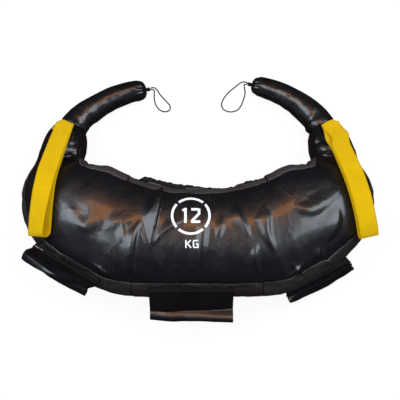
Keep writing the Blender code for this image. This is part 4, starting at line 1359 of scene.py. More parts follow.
@dataclass
class Mouth:
    """The gathered filling mouth: two ruffled lips and the tapes between them.

    Args:
        bag: the part's curves.
        steps: points along each piece.
    """

    bag: Bag
    steps: int = 260

    # Rows of a lip: first their angles off the inner side, in degrees, and then how far out and
    # up they are, as shares of its reach and of the leather and tape below it
    LIP_ANGLES = (35.4, 27, 18)
    LIP_CURL = ((0.0, 2.2), (0.35, 1.25), (0.7, 1.0), (1.0, 1.0))
    LIP_ROWS = 28
    TAPE_ROWS = 5

    def build(self) -> None:
        """Makes both lips and both tapes."""
        for front in (True, False):
            self.lip(front)
            self.tape(front)
            LOG.info("mouth %s: lip and tape", "front" if front else "back")

    def stations(self, margin: float) -> np.ndarray:
        """Stations along the mouth, a margin inside its ends."""
        return np.linspace(-MOUTH_STATION + margin, MOUTH_STATION - margin, self.steps)

    def wave(self, stations: np.ndarray) -> np.ndarray:
        """The height of the tapes' ruffle at each station, in metres."""
        return (1.6 * np.sin(stations * 6.1 + 0.4) + 0.9 * np.sin(stations * 11.7)) * MM

    def reach(self, stations: np.ndarray, front: bool) -> np.ndarray:
        """How far a lip stands from the gusset.

        Args:
            stations: places along the mouth.
            front: whether it is the front lip.

        Returns:
            The distances in metres.
        """
        places, reaches = zip(*(FRONT_LIP if front else BACK_LIP))
        fine = 0.45 * np.sin(stations * 23.0 + front) + 0.35 * np.sin(stations * 41.0 + 1.0)
        ends = smooth_step(0, 0.2, MOUTH_STATION - np.abs(stations))
        return np.maximum(smooth_interp(stations, places, reaches) + fine * ends, 0.3) * MM

    def lip(self, front: bool) -> None:
        """Makes one lip, from the panel's seam to its edge.

        Args:
            front: whether it is the front lip.
        """
        sign = 1 if front else -1
        name = "mouth_lip_front" if front else "mouth_lip_back"
        stations = self.stations(0.02)
        row = self.bag.spine(stations)
        outward = self.bag.outward(stations)
        level = row[:, 3] - self.bag.settle(stations) + self.wave(stations)
        angles = 180 - sign * np.array(self.LIP_ANGLES)
        on_skin = self.bag.skin(stations, angles)
        reach = self.reach(stations, front)
        stack = (TAPE_THICKNESS + 1.5 * SEAM_GAP + LEATHER + 0.3 * MM) * sign
        rows = list(on_skin)
        for out, up in self.LIP_CURL:
            point = np.zeros_like(rows[0])
            point[:, :2] = row[:, :2] - outward[:, :2] * (row[:, 2] + reach * out)[:, None]
            point[:, 2] = level + stack * up
            rows.append(point)
        places = np.linspace(0, len(rows) - 1, self.LIP_ROWS)
        fine = smooth_through(np.array(rows).reshape(len(rows), -1), places)
        points = fine.reshape(self.LIP_ROWS, *rows[0].shape)
        share = np.linspace(0, 1, self.LIP_ROWS)[:, None]
        rng = np.random.default_rng(5 + front)
        along = np.broadcast_to(stations * 0.045, points.shape[:2])
        ruffle = lattice(rng, along, share * np.ones_like(along), (0.006, 0.6))
        ruffle += 0.5 * lattice(rng, along, share * np.ones_like(along), (0.0035, 0.5))
        lifted = 0.9 * MM * ruffle * np.sin(math.pi * share) ** 0.6
        points[..., 2] += np.maximum(lifted * sign, -0.4 * MM) * sign
        points = points if front else points[::-1]
        made = Surface(points, thickness=LEATHER * 0.8).build(
            f"new_{name}", Material.MATTE if front else Material.WELT
        )
        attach(made, "body")
        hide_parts(name)

    def tape(self, front: bool) -> None:
        """Makes one fastening tape on the inside of its lip.

        Args:
            front: whether it is on the front lip.
        """
        sign = 1 if front else -1
        name = "mouth_hook_tape" if front else "mouth_loop_tape"
        stations = self.stations(0.5)
        row = self.bag.spine(stations)
        outward = self.bag.outward(stations)
        level = row[:, 3] - self.bag.settle(stations) + self.wave(stations)
        rows = []
        lips = np.minimum(self.reach(stations, True), self.reach(stations, False))
        width = np.clip(lips - 0.8 * MM, 1.0 * MM, TAPE_WIDTH)
        for out in np.linspace(0, 1, self.TAPE_ROWS):
            point = np.zeros((len(stations), 3))
            point[:, :2] = row[:, :2] - outward[:, :2] * (row[:, 2] + width * out)[:, None]
            point[:, 2] = level + sign * (SEAM_GAP / 2 + TAPE_THICKNESS / 2)
            rows.append(point)
        made = Surface(np.array(rows), thickness=TAPE_THICKNESS * 0.9, offset=0).build(
            f"new_{name}", Material.TAPE
        )
        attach(made, "body")
        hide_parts(name)


# Where each pouch and shoulder filling begins and ends along the bag
FILLING_SPANS = {
    "sand_pouch_left": (-6.45, -2.03),
    "sand_pouch_middle": (-1.97, 1.97),
    "sand_pouch_right": (2.03, 6.45),
    "shoulder_filling_left": (-9.1, -6.55),
    "shoulder_filling_right": (6.55, 9.1),
}


@dataclass
class Filling:
    """The stuffed pieces inside the body and the shoulders, seen only where the bag is opened.

    Args:
        bag: the part's curves.
        inset: how far they lie inside the outer skin.
        columns: points along each of them.
    """

    bag: Bag
    inset: float = LEATHER + 5 * MM
    columns: int = 40

    def build(self) -> None:
        """Makes the pouches and the shoulder fillings."""
        for name, span in FILLING_SPANS.items():
            stations = np.linspace(*span, self.columns)
            points = self.bag.skin(stations, np.arange(0, 360, 9.0))
            middle = points.mean(0)
            away = points - middle
            size = np.linalg.norm(away, axis=-1, keepdims=True)
            ends = np.sin(np.linspace(0.12, math.pi - 0.12, self.columns)) ** 0.25
            points = middle + away * ((size - self.inset) / size) * ends[None, :, None]
            points[:, 0], points[:, -1] = points[:, 0].mean(0), points[:, -1].mean(0)
            pouch = name.startswith("sand")
            made = Surface(close(points, 0), rows_meet=True).build(
                f"new_{name}", Material.POUCH if pouch else Material.WADDING
            )
            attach(made, "body")
            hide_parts(name)
            LOG.info("%s: %d points", name, points.shape[0] * points.shape[1])


@dataclass
class Horn:
    """One horn: its shoulder sleeve, its grip with the filling, its knot and its wrist loop.

    Args:
        bag: the part's curves.
        label: "left" or "right".
    """

    bag: Bag
    label: str

    SPINE_STEPS = 400
    KNOT_TURNS = 3.1
    DOME_STEPS = 16
    GRIP_WALL = 1.4 * MM
    # How far before and after the cuff's end the grip bends, in millimetres
    BEND_SPAN = (4, 38)

    def __post_init__(self) -> None:
        """Measures the grip's line and finds the cuff's centre and direction."""
        self.side = SIDES[self.label]
        stations = np.linspace(CUFF_STATION, TIP_STATION, self.SPINE_STEPS)
        line = self.bag.spine(self.side * stations)[:, :2]
        steps = np.linalg.norm(np.diff(line, axis=0), axis=1)
        self.marks = np.concatenate([[0.0], np.cumsum(steps)])
        self.line, self.length = line, float(self.marks[-1])
        centre, tangent, _, _, height = self.bag.frame(self.side * CUFF_STATION)
        self.centre = centre + np.array((0, 0, height - float(self.bag.settle(np.array(CUFF_STATION)))))
        self.along = tangent * self.side

    def radius(self, share: np.ndarray) -> np.ndarray:
        """The grip's radius at shares of its length."""
        shares, radii = zip(*GRIPS_SHARES[self.label])
        return GRIP_RADIUS * smooth_interp(share, shares, radii)

    def tip(self) -> tuple[np.ndarray, np.ndarray]:
        """Finds the horn's end.

        Returns:
            The tip's outermost point, and the direction out of the horn.
        """
        way = np.append(unit(self.line[-1] - self.line[-2]), 0.0)
        tip = float(GRIP_RADIUS * GRIPS_SHARES[self.label][-1][1])
        blunted = tip * TIP_BLUNT_SHARE * (1 - math.sin(math.radians(TIP_ANGLES[-1])))
        point = np.append(self.line[-1], tip - HORN_SETTLE) - way * blunted
        return point, way

    def knot_end(self) -> tuple[np.ndarray, np.ndarray]:
        """(where the wrist loop leaves its knot, the direction out of the horn)."""
        point, way = self.tip()
        return point + way * (SEAM_GAP + KNOT_LENGTH), way

    def cord(self) -> None:
        """Makes the knot and the wrist loop that hangs from it."""
        end, way = self.knot_end()
        across = np.cross(way, (0, 0, 1)) * self.side
        route = np.array(CORD_ROUTES[self.label])
        rows = end + way * (route[:, :1] + SEAM_GAP) + across * route[:, 1:2]
        rows[:, 2] = route[:, 2]
        count = (len(rows) - 1) * CORD_STEPS
        points = smooth_through(rows, np.arange(count + 1) / CORD_STEPS)
        cord = tube(f"new_wrist_cord_{self.label}", points, CORD_DIAMETER / 2, Material.CORD)
        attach(cord, f"grip_{self.label}")
        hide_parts(f"wrist_cord_{self.label}")
        knot = self.knot()

    def knot(self) -> bpy.types.Object:
        """Makes the knot: three turns of the cord over its own two ends.

        Returns:
            The knot.
        """
        start, way = self.tip()
        across = np.cross(way, (0, 0, 1))
        turn = np.linspace(0, 2 * math.pi * self.KNOT_TURNS, 90)
        out = np.interp(turn, (0, turn[-1]), (1.7 * MM, KNOT_LENGTH - 1.5 * MM))
        wide = (KNOT_RADIUS - CORD_DIAMETER / 2) * (0.9 + 0.1 * np.sin(np.linspace(0, math.pi, 90)))
        points = (
            start + way * out[:, None] + across * (wide * np.cos(turn))[:, None]
            + UP * (wide * np.sin(turn))[:, None]
        )
        core = start + way * np.linspace(-1.5 * MM, KNOT_LENGTH, 12)[:, None]
        points = np.concatenate([core, points[::-1]])
        points = smooth_through(points, np.linspace(0, len(points) - 1, 260))
        made = tube(f"new_tip_knot_{self.label}", points, CORD_DIAMETER / 2, Material.CORD)
        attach(made, f"grip_{self.label}")
        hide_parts(f"tip_knot_{self.label}")
        return made

    def shoulder(self, skin: Skin) -> None:
        """Cuts the shoulder from the skin and rolls both its ends in.

        Args:
            skin: the inflated skin.
        """
        span = (BODY_END, CUFF_STATION) if self.side > 0 else (-CUFF_STATION, -BODY_END)
        points = skin.patch(span, (0, 360))
        if self.side > 0:
            points = points[:, ::-1]
        normals = grid_normals(points) * (-self.side)
        from_body = self.run(points[:, ::-1])[:, ::-1]
        from_cuff = self.run(points)
        roll = 1.3 * MM * smooth_step(3 * MM, 0, from_body)
        roll += 1.6 * MM * smooth_step(4 * MM, 0, from_cuff)
        points = points - normals * roll[..., None]
        points[..., 2] = np.maximum(points[..., 2], 0.0)
        points = points if self.side < 0 else points[:, ::-1]
        made = Surface(points, rows_meet=True, thickness=LEATHER).build(
            f"new_shoulder_sleeve_{self.label}", Material.LEATHER
        )
        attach(made, "body")
        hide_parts(f"shoulder_sleeve_{self.label}")
        LOG.info("shoulder sleeve %s: %d points", self.label, points.shape[0] * points.shape[1])

    @staticmethod
    def run(points: np.ndarray) -> np.ndarray:
        """Distance of each point from the first column."""
        steps = np.linalg.norm(np.diff(points, axis=1), axis=-1)
        return np.concatenate([np.zeros((len(points), 1)), np.cumsum(steps, 1)], 1)

    def rings(self, inset: float, first: float, count: int, wrinkled: bool) -> np.ndarray:
        """Rings of the grip from inside the cuff to its closed tip.

        Args:
            inset: how far inside the grip's outer surface they lie.
            first: where they begin, from the cuff's end.
            count: how many there are before the tip's dome.
            wrinkled: whether they have the leather's wrinkles.

        Returns:
            A row for each angle and a column for each ring.
        """
        tip = float(GRIP_RADIUS * GRIPS_SHARES[self.label][-1][1])
        blunt = tip * TIP_BLUNT_SHARE
        marks = np.linspace(first, self.length - blunt, count)
        dome = np.radians(np.linspace(0, 90, self.DOME_STEPS)[1:])
        all_marks = np.concatenate([marks, self.length - blunt + (blunt - inset) * np.sin(dome)])
        share = np.clip(all_marks / self.length, 0, 1)
        radius = self.radius(share) - inset
        radius[count:] = (tip - inset) * np.cos(dome) ** 0.8
        tuck = smooth_step(2.5 * MM, -3 * MM, all_marks)
        radius -= 4.2 * MM * tuck
        x = np.interp(all_marks, self.marks, self.line[:, 0])
        y = np.interp(all_marks, self.marks, self.line[:, 1])
        back = np.minimum(all_marks, 0)
        x, y = x + back * self.along[0], y + back * self.along[1]
        way = unit(np.stack([np.gradient(x), np.gradient(y)], -1))
        rest = self.radius(share) - HORN_SETTLE
        up = self.centre[2] + (rest - self.centre[2]) * smooth_step(0, 1, share / GRIP_EASE)
        turn = np.radians(np.arange(0, 361, 5.0))[:, None]
        if wrinkled:
            radius = radius[None, :] + self.wrinkles(all_marks, turn, tip)
        level = np.stack([way[:, 1], -way[:, 0]], -1) * self.side
        points = np.empty((len(turn), len(all_marks), 3))
        points[..., 0] = x + level[:, 0] * radius * np.cos(turn)
        points[..., 1] = y + level[:, 1] * radius * np.cos(turn)
        points[..., 2] = np.maximum(up + radius * np.sin(turn), 0)
        points[-1] = points[0]
        points[:, -1] = points[0, -1]
        return points if self.side > 0 else points[:, ::-1]

    def wrinkles(self, marks: np.ndarray, turn: np.ndarray, tip: float) -> np.ndarray:
        """Heights over the grip: pinches at its inner bend and at the cuff, and long soft dents.

        Args:
            marks: each ring's distance from the cuff.
            turn: the angles round the grip, as a column.
            tip: the tip's radius.

        Returns:
            A height for each point.
        """
        rng = np.random.default_rng(21 if self.side > 0 else 22)
        run = np.broadcast_to(marks, (len(turn), len(marks)))
        angle = np.broadcast_to(turn * GRIP_RADIUS, run.shape)
        inner = 0.5 - 0.5 * np.cos(turn)
        pinch = lattice(rng, run, angle, (0.011, 0.03))
        soft = lattice(rng, run, angle, (0.032, 0.014))
        near = np.exp(-((run - 16 * MM) / (18 * MM)) ** 2)
        end = smooth_step(self.length - 0.5 * tip, self.length - 1.2 * tip, run)
        gathers = np.cos(turn * 11 + 1.5 * np.sin(turn * 3)) * smooth_step(
            self.length - 1.6 * tip, self.length - 0.3 * tip, run
        )
        crinkle = lattice(rng, run, angle, (0.015, 0.009))
        heights = 1.4 * MM * pinch * (0.25 + 0.75 * inner) * (0.35 + near) + 0.9 * MM * soft
        heights += 0.3 * MM * crinkle
        heights = heights * end + 0.7 * MM * gathers
        heights[-1] = heights[0]
        seam = smooth_step(-2 * MM, 4 * MM, run)
        return heights * seam * smooth_step(self.length, self.length - 0.25 * tip, run)

    def grip(self) -> None:
        """Makes the grip's skin and its filling along the horn's line from inside the cuff."""
        outer = self.rings(0.0, -12 * MM, 150, True)
        inner = self.rings(LEATHER + 1.5 * MM, -6 * MM, 40, False)
        skin = Surface(outer, rows_meet=True, thickness=self.GRIP_WALL).build(
            f"new_grip_sleeve_{self.label}", Material.LEATHER
        )
        core = Surface(inner, rows_meet=True).build(
            f"new_grip_filling_{self.label}", Material.WADDING
        )
        for made, kind, slot in ((skin, "sleeve", "leather"), (core, "filling", "wadding")):
            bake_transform(made)
            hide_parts(f"grip_{kind}_{self.label}")
        LOG.info("grip %s: %.0f mm long", self.label, self.length * 1000)


def smooth_interp(share: np.ndarray, shares: tuple[float, ...], values: tuple[float, ...]) -> np.ndarray:
    """Reads a smooth curve through (share, value) pairs."""
    places = np.interp(share, shares, np.arange(len(shares)))
    return smooth_through(np.array(values)[:, None], places)[..., 0]


def tube(name: str, points: np.ndarray, radius: float, material: Material) -> bpy.types.Object:
    """Makes a round cord along points.

    Args:
        name: the object's name.
        points: its centreline.
        radius: its radius.
        material: its finish.

    Returns:
        The curve object.
    """
    data = bpy.data.curves.new(name, "CURVE")
    data.dimensions = "3D"
    data.bevel_depth = radius
    data.bevel_resolution = 4
    data.use_fill_caps = True
    line = data.splines.new("POLY")
    line.points.add(len(points) - 1)
    line.points.foreach_set("co", np.column_stack([points, np.ones(len(points))]).reshape(-1))
    data.materials.append(material.made)
    made = bpy.data.objects.new(name, data)
    bpy.context.scene.collection.objects.link(made)
    return made


@dataclass
class BentLine:
    """A flat path that a strip is bent along: s runs along it, w square to it.

    Args:
        path: its points, as rows of two coordinates.
    """

    path: np.ndarray

    def __post_init__(self) -> None:
        """Measures the path."""
        steps = np.linalg.norm(np.diff(self.path, axis=0), axis=1)
        self.marks = np.concatenate([[0.0], np.cumsum(steps)])
        self.length = float(self.marks[-1])

    def point(self, s: np.ndarray) -> np.ndarray:
        """Points at distances along the path, carried on straight past its ends.

        Args:
            s: the distances.

        Returns:
            The points, with the distances' shape and one more axis.
        """
        inside = np.clip(s, 0, self.length)
        found = np.stack([np.interp(inside, self.marks, self.path[:, axis]) for axis in (0, 1)], -1)
        first, last = unit(self.path[1] - self.path[0]), unit(self.path[-1] - self.path[-2])
        found += np.minimum(s, 0)[..., None] * first
        return found + np.maximum(s - self.length, 0)[..., None] * last

    def at(self, s: np.ndarray, w: np.ndarray) -> np.ndarray:
        """Points beside the path.

        Args:
            s: distances along it.
            w: distances to the left of it.

        Returns:
            The points, with the distances' shape and one more axis.
        """
        reach = self.length / 40
        heading = unit(self.point(s + reach) - self.point(s - reach))
        left = np.stack([-heading[..., 1], heading[..., 0]], -1)
        return self.point(s) + left * np.asarray(w)[..., None]


@dataclass
class Strip:
    """A flattened loop of sheet along a bent line, sewn together up to its hem.

    Args:
        line: the bent line in a vertical plane.
        wall: the sheet's thickness.
        opening: how far the layers part at the fold.
        hem: the length sewn together.
        steps: points along each layer.
        neck: the length over which the upper layer rises to a round fold; 0 for a slow parting.
    """

    line: BentLine
    wall: float
    opening: float
    hem: float
    steps: int = 60
    neck: float = 0.0

    FOLD_STEPS = 15
    ROOT_STEPS = 5

    def outline(self) -> tuple[np.ndarray, np.ndarray]:
        """The loop's middle line: the under layer, the fold, the upper layer and the root.

        Returns:
            Distances along the bent line, and distances to the left of it.
        """
        fold = self.wall + self.opening / 2
        far = self.line.length - fold
        along = np.linspace(0, far, self.steps)
        share = np.clip((along - self.hem) / (far - self.hem), 0, 1)
        parted = self.opening * share * (2 - share)
        if self.neck:
            parted = self.opening * (1 - np.clip((far - along) / self.neck, 0, 1) ** 2) ** 0.75
        turn = np.radians(np.linspace(-90, 90, self.FOLD_STEPS + 2)[1:-1])
        radius = (self.opening + self.wall) / 2
        root = np.radians(np.linspace(90, 270, self.ROOT_STEPS + 2)[1:-1])
        s = np.concatenate([
            along, far + radius * np.cos(turn), along[::-1], self.wall / 2 * np.cos(root),
        ])
        w = np.concatenate([
            np.full(self.steps, self.wall / 2), fold + radius * np.sin(turn),
            (1.5 * self.wall + parted)[::-1], self.wall + self.wall / 2 * np.sin(root),
        ])
        return s, w


LEAST_SPACING = 1.6 * MM


def support_path(
    points: np.ndarray, first: float, last: float, step: float, clearance: float
) -> np.ndarray:
    """A flat cloud's convex outline between two normal directions.

    Args:
        points: the cloud, as rows of two coordinates.
        first: the direction that the outline faces where it begins, in degrees.
        last: the direction that it faces where it ends.
        step: the turn between points.
        clearance: how far it stands off.

    Returns:
        The outline's points.
    """
    count = max(round(abs(last - first) / step), 1)
    path = []
    for degrees in np.linspace(first, last, count + 1):
        direction = np.array((math.cos(math.radians(degrees)), math.sin(math.radians(degrees))))
        path.append(points[int(np.argmax(points @ direction))] + direction * clearance)
    kept = [path[0]]
    for point in path[1:]:
        if np.linalg.norm(point - kept[-1]) >= LEAST_SPACING:
            kept.append(point)
    return np.array(kept)


@dataclass
class HandStrap:
    """A webbing hand strap laid over the lobe, and the tab on the shoulder that it is sewn to.

    Args:
        bag: the part's curves.
        skin: the inflated skin that the strap lies on.
        label: "left" or "right".
    """

    bag: Bag
    skin: Skin
    label: str

    # The directions that the strap's under side faces at its tab and at its fold, in degrees
    FACES = (170, -4)
    TURN_STEP = 2.0
    PATH_STEPS = 60
    LAYER_STEPS = 90
    ROWS = 9

    def plane(self) -> tuple[np.ndarray, np.ndarray, np.ndarray]:
        """Finds the upright plane that the strap lies in.

        Returns:
            Its origin on the floor, and its directions forward and sideways.
        """
        side, splay, _ = STRAPS[self.label]
        centre, tangent, _, _, _ = self.bag.frame(side * CUFF_STATION)
        along = tangent * side
        outward = np.array((along[1], -along[0], 0)) * side
        forward = np.array((side * math.sin(math.radians(splay)), -math.cos(math.radians(splay)), 0))
        root = centre - along * STRAP_SETBACK + outward * STRAP_OFFSET
        return np.array((root[0], root[1], 0.0)), forward, np.cross((0, 0, 1), forward)

    def path(self) -> np.ndarray:
        """The strap's under side in its plane.

        Returns:
            Points as rows of forward and up.
        """
        origin, forward, sideways = self.plane()
        cloud = self.skin.points.reshape(-1, 3) - origin
        cloud = cloud[np.abs(cloud @ sideways) <= STRAP_WIDTH / 2]
        flat = np.stack([cloud @ forward, cloud[:, 2]], -1)
        flat = flat[flat[:, 0] >= -STRAP_SETBACK]
        path = support_path(flat, *self.FACES, self.TURN_STEP, WEBBING + STRAP_CLEARANCE)
        ahead = int(np.argmax(path[:, 0] > 0))
        if ahead:
            before, after = path[ahead - 1], path[ahead]
            share = -before[0] / (after[0] - before[0])
            path = np.vstack([before + (after - before) * share, path[ahead:]])
        steps = np.concatenate([[0.0], np.cumsum(np.linalg.norm(np.diff(path, axis=0), axis=1))])
        ends = min(STRAP_LENGTH, steps[-1])
        marks = np.linspace(0, ends, self.PATH_STEPS)
        kept = np.stack([np.interp(marks, steps, path[:, axis]) for axis in (0, 1)], -1)
        if steps[-1] < STRAP_LENGTH:
            heading = unit(kept[-1] - kept[-2])
            kept = np.vstack([kept, kept[-1] + heading * (STRAP_LENGTH - steps[-1])])
        return kept

    def build(self) -> None:
        """Makes the strap and its tab."""
        origin, forward, sideways = self.plane()
        line = BentLine(self.path())
        strip = Strip(line, WEBBING, STRAP_OPENING, STRAP_BAR_TACK, self.LAYER_STEPS)
        s, w = strip.outline()
        flat = strip.line.at(s, w)
        rows = []
        side = STRAPS[self.label][0]
        share = s / strip.line.length
        upper = smooth_step(strip.steps - 1, strip.steps + strip.FOLD_STEPS, np.arange(len(s)))
        far = smooth_step(0.5, 1.0, share) * (side < 0)
        near = np.exp(-(((share - 0.16) / 0.07) ** 2)) * (side > 0)
        roll = np.radians(26) * far * upper + np.radians(8) * far
        drift = MM * (6.0 * far * (1 - upper) + 6.0 * near * upper - 3.0 * near * (1 - upper))
        for across in np.linspace(-0.5, 0.5, self.ROWS):
            sag = 0.25 * MM * (across * 2) ** 2
            lift = across * STRAP_WIDTH * np.sin(roll) + 3.0 * MM * far * upper - sag
            spot = origin + forward * flat[:, :1] + UP * (flat[:, 1] + lift)[:, None]
            spot = spot + sideways * (across * STRAP_WIDTH * np.cos(roll) + drift)[:, None]
            rows.append(spot)
        points = close(np.array(rows), 1)
        made = Surface(points, columns_meet=True, thickness=WEBBING * 0.92, offset=0).build(
            f"new_hand_strap_{self.label}", Material.WEBBING
        )
        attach(made, f"strap_{self.label}")
        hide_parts(f"hand_strap_{self.label}")
        self.tab(side)

    def tab(self, side: int) -> None:
        """Makes the strap's sewn end on the shoulder.

        Args:
            side: -1 at the left and 1 at the right.
        """
        middle = STRAPS[self.label][2]
        half = math.degrees(STRAP_WIDTH / 2 / CUFF_RADIUS) * 0.6
        stations = np.linspace(CUFF_STATION - 1, CUFF_STATION - 0.1, 14) * side
        stations = np.sort(stations)
        degrees = np.linspace(middle - half, middle + half, 24)
        points = self.bag.skin(stations, degrees)
        normals = grid_normals(points)
        points = points + normals * (SEAM_GAP + WEBBING + 0.3 * MM)
        made = Surface(points, thickness=WEBBING * 0.8).build(
            f"new_strap_tab_{self.label}", Material.WEBBING
        )
        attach(made, "body")
        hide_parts(f"strap_tab_{self.label}")


@dataclass(frozen=True)
class SleeveLook:
    """How a hand sleeve lies.

    Args:
        curl: degrees by which its far end turns down.
        tube: how far its layers part at the fold: at its left end, past its middle and at its
            right end.
        neck: the length over which its upper layer rises to that fold.
        drift: how far its free edge has slid along, to the right.
        rounded: how much shorter its corners are, as a share.
        seed: for its dents.
        ridge: the height of a crease along its upper layer.
        ridge_shares: where that crease is at the left and the right end, as shares of the length.
        flange: how far the welt's hidden edge reaches down beside the root, so that the floor
            doesn't show through the seam.
    """

    curl: float
    tube: tuple[float, float, float]
    neck: float
    drift: float
    rounded: float
    seed: int
    ridge: float = 0.0
    ridge_shares: tuple[float, float] = (0.5, 0.5)
    flange: float = 5 * MM


SLEEVE_LOOKS = {
    "left": SleeveLook(
        4, (5 * MM, 8 * MM, 6 * MM), 14 * MM, -15 * MM, 0.0, 31, ridge=7 * MM, ridge_shares=(0.88, 0.46)
    ),
    "middle": SleeveLook(-14, (7 * MM, 13 * MM, 18 * MM), 10 * MM, 0.0, 0.0, 32),
    "right": SleeveLook(0, (8 * MM, 11 * MM, 8 * MM), 20 * MM, 2 * MM, 0.55, 33, flange=13 * MM),
}


@dataclass
class HandSleeve:
    """A leather hand sleeve on the outer gusset, and the welt that it is sewn to.

    Args:
        bag: the part's curves.
        tree: the inflated skin, for the welt's foot.
        label: "left", "middle" or "right".
        joints: the frame's joints by name.
    """

    bag: Bag
    tree: BVHTree
    label: str
    joints: dict

    LOOPS = 61
    LAYER_STEPS = 60
    BENDS = 40
    WELT_PLACES = 41
    # The crease's width towards the free edge and towards the root
    RIDGE_WIDTHS = (8 * MM, 14 * MM)

    def build(self) -> None:
        """Makes the sleeve and its welt."""
        station, hang_angle, length_share, width_share = SLEEVES_SHARES[self.label]
        length, width = SLEEVE_LENGTH * length_share, SLEEVE_WIDTH * width_share
        step = GUSSET_SEAM_STATION / 2
        ends = self.bag.skin(np.array((station - step, station + step)), np.array((0.0,)))[0]
        along = unit(ends[1] - ends[0])
        along = unit(np.array((along[0], along[1], 0.0)))
        forward = np.array((along[1], -along[0], 0.0))
        hinge = np.array(self.joints[f"sleeve_{self.label}_lift"]["pos_m"])
        drop = min((hinge[2] - SLEEVE_WALL - SLEEVE_FLOOR_GAP) / length, 1)
        hang = min(math.radians(hang_angle), math.asin(drop))
        heading = np.array((math.cos(hang), -math.sin(hang)))
        normal = np.array((-heading[1], heading[0]))
        look = SLEEVE_LOOKS[self.label]
        root = np.array((0.0, hinge[2])) - normal * SLEEVE_WALL
        curl = smooth_step(0.3, 1.0, np.linspace(0, 1, self.BENDS))
        turns = hang + math.radians(look.curl) * curl
        steps = np.stack([np.cos(turns), -np.sin(turns)], -1) * (length / self.BENDS)
        line = BentLine(root + np.vstack([np.zeros(2), np.cumsum(steps, axis=0)]))
        shares = np.linspace(-0.5, 0.5, self.LOOPS)
        loops = [
            Strip(line, SLEEVE_WALL, float(gap), SLEEVE_HEM, self.LAYER_STEPS, look.neck).outline()
            for gap in np.interp(shares, (-0.5, 0.1, 0.5), look.tube)
        ]
        s, w = (np.array([loop[axis] for loop in loops]) for axis in (0, 1))
        rng = np.random.default_rng(look.seed)
        edge = np.broadcast_to(shares[:, None] * width, s.shape)
        dents = lattice(rng, edge, s, (0.030, 0.03)) + 0.5 * lattice(rng, edge, s, (0.013, 0.02))
        free = smooth_step(0, 0.7, s / length)
        lean = lattice(rng, edge, np.zeros_like(s), (0.045, 1.0))
        corner = look.rounded * np.abs(2 * shares[:, None]) ** 4
        flat = line.at(s * (1 - free * (0.03 * (1 + lean) + corner)), w)
        lift = 1.2 * MM * dents * free + self.ridge(look, shares, s, length)
        points = (
            np.array((hinge[0], hinge[1], 0.0)) + forward * flat[..., :1] + UP * flat[..., 1:]
            + along * (edge + look.drift * free)[..., None]
            + (forward * normal[0] + UP * normal[1]) * lift[..., None]
        )
        points = close(points[::-1], 1)
        made = Surface(points, columns_meet=True, thickness=SLEEVE_WALL * 0.9, offset=0).build(
            f"new_hand_sleeve_{self.label}", Material.LEATHER
        )
        self.dull_root(made, hinge, forward * heading[0] + UP * heading[1])
        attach(made, f"sleeve_{self.label}")
        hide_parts(f"hand_sleeve_{self.label}")
        welt = self.welt(hinge, along, forward, width)

    @staticmethod
    def dull_root(made: bpy.types.Object, hinge: np.ndarray, down: np.ndarray) -> None:
        """Gives the raw edge at the root the welt's dull finish.

        Args:
            made: the sleeve.
            hinge: a point on its hinge.
            down: the direction from the root to the free edge.
        """
        made.data.materials.append(Material.WELT.made)
        centres = np.empty(len(made.data.polygons) * 3, np.float32)
        made.data.polygons.foreach_get("center", centres)
        raw = (centres.reshape(-1, 3) - hinge) @ down < SLEEVE_WALL
        made.data.polygons.foreach_set("material_index", raw.astype(np.int32))

    def ridge(
        self, look: SleeveLook, shares: np.ndarray, s: np.ndarray, length: float
    ) -> np.ndarray:
        """Heights of the crease on the upper layer.

        Args:
            look: how the sleeve lies.
            shares: each loop's place along the sleeve, from -0.5 to 0.5.
            s: each point's distance from the root.
            length: the sleeve's length.

        Returns:
            A height for each point.
        """
        crest = length * np.interp(shares, (-0.5, 0.5), look.ridge_shares)[:, None]
        width = np.where(s > crest, *self.RIDGE_WIDTHS)
        place = np.arange(s.shape[1]) - self.LAYER_STEPS - Strip.FOLD_STEPS
        upper = (place >= 0) & (place < self.LAYER_STEPS)
        fade = np.cos(math.pi * shares)[:, None] ** 0.6
        return look.ridge * np.clip(1 - np.abs(s - crest) / width, 0, 1) * fade * upper

    def welt(
        self, hinge: np.ndarray, along: np.ndarray, forward: np.ndarray, width: float
    ) -> bpy.types.Object:
        """Makes the welt between the curved gusset and the sleeve's straight root.

        Args:
            hinge: the middle of the hinge.
            along: the hinge's direction, to the right.
            forward: the level direction away from the bag.
            width: the sleeve's width.

        Returns:
            The welt.
        """
        rows = []
        reach = SLEEVE_WALL * 1.5 + SEAM_GAP
        depth = UP * SLEEVE_LOOKS[self.label].flange
        for share in np.linspace(-0.5, 0.5, self.WELT_PLACES):
            edge = hinge + along * (share * width)
            foot = np.array(self.tree.find_nearest(Vector(edge))[0])
            inward = foot - edge
            inward = unit(inward - along * float(inward @ along))
            corner = edge + inward * reach
            flange = edge - forward * reach - depth
            end = foot + inward * 0.5 * MM
            rows.append([flange] + [corner + (end - corner) * t for t in np.linspace(0, 1, 6)])
        points = np.array(rows).swapaxes(0, 1)
        made = Surface(points, thickness=SLEEVE_WALL * 0.8, offset=0).build(
            f"new_sleeve_welt_{self.label}", Material.WELT
        )
        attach(made, "body")
        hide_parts(f"sleeve_welt_{self.label}")
        return made


LIGHTS_AIM = Vector((0, 0, 0.08))


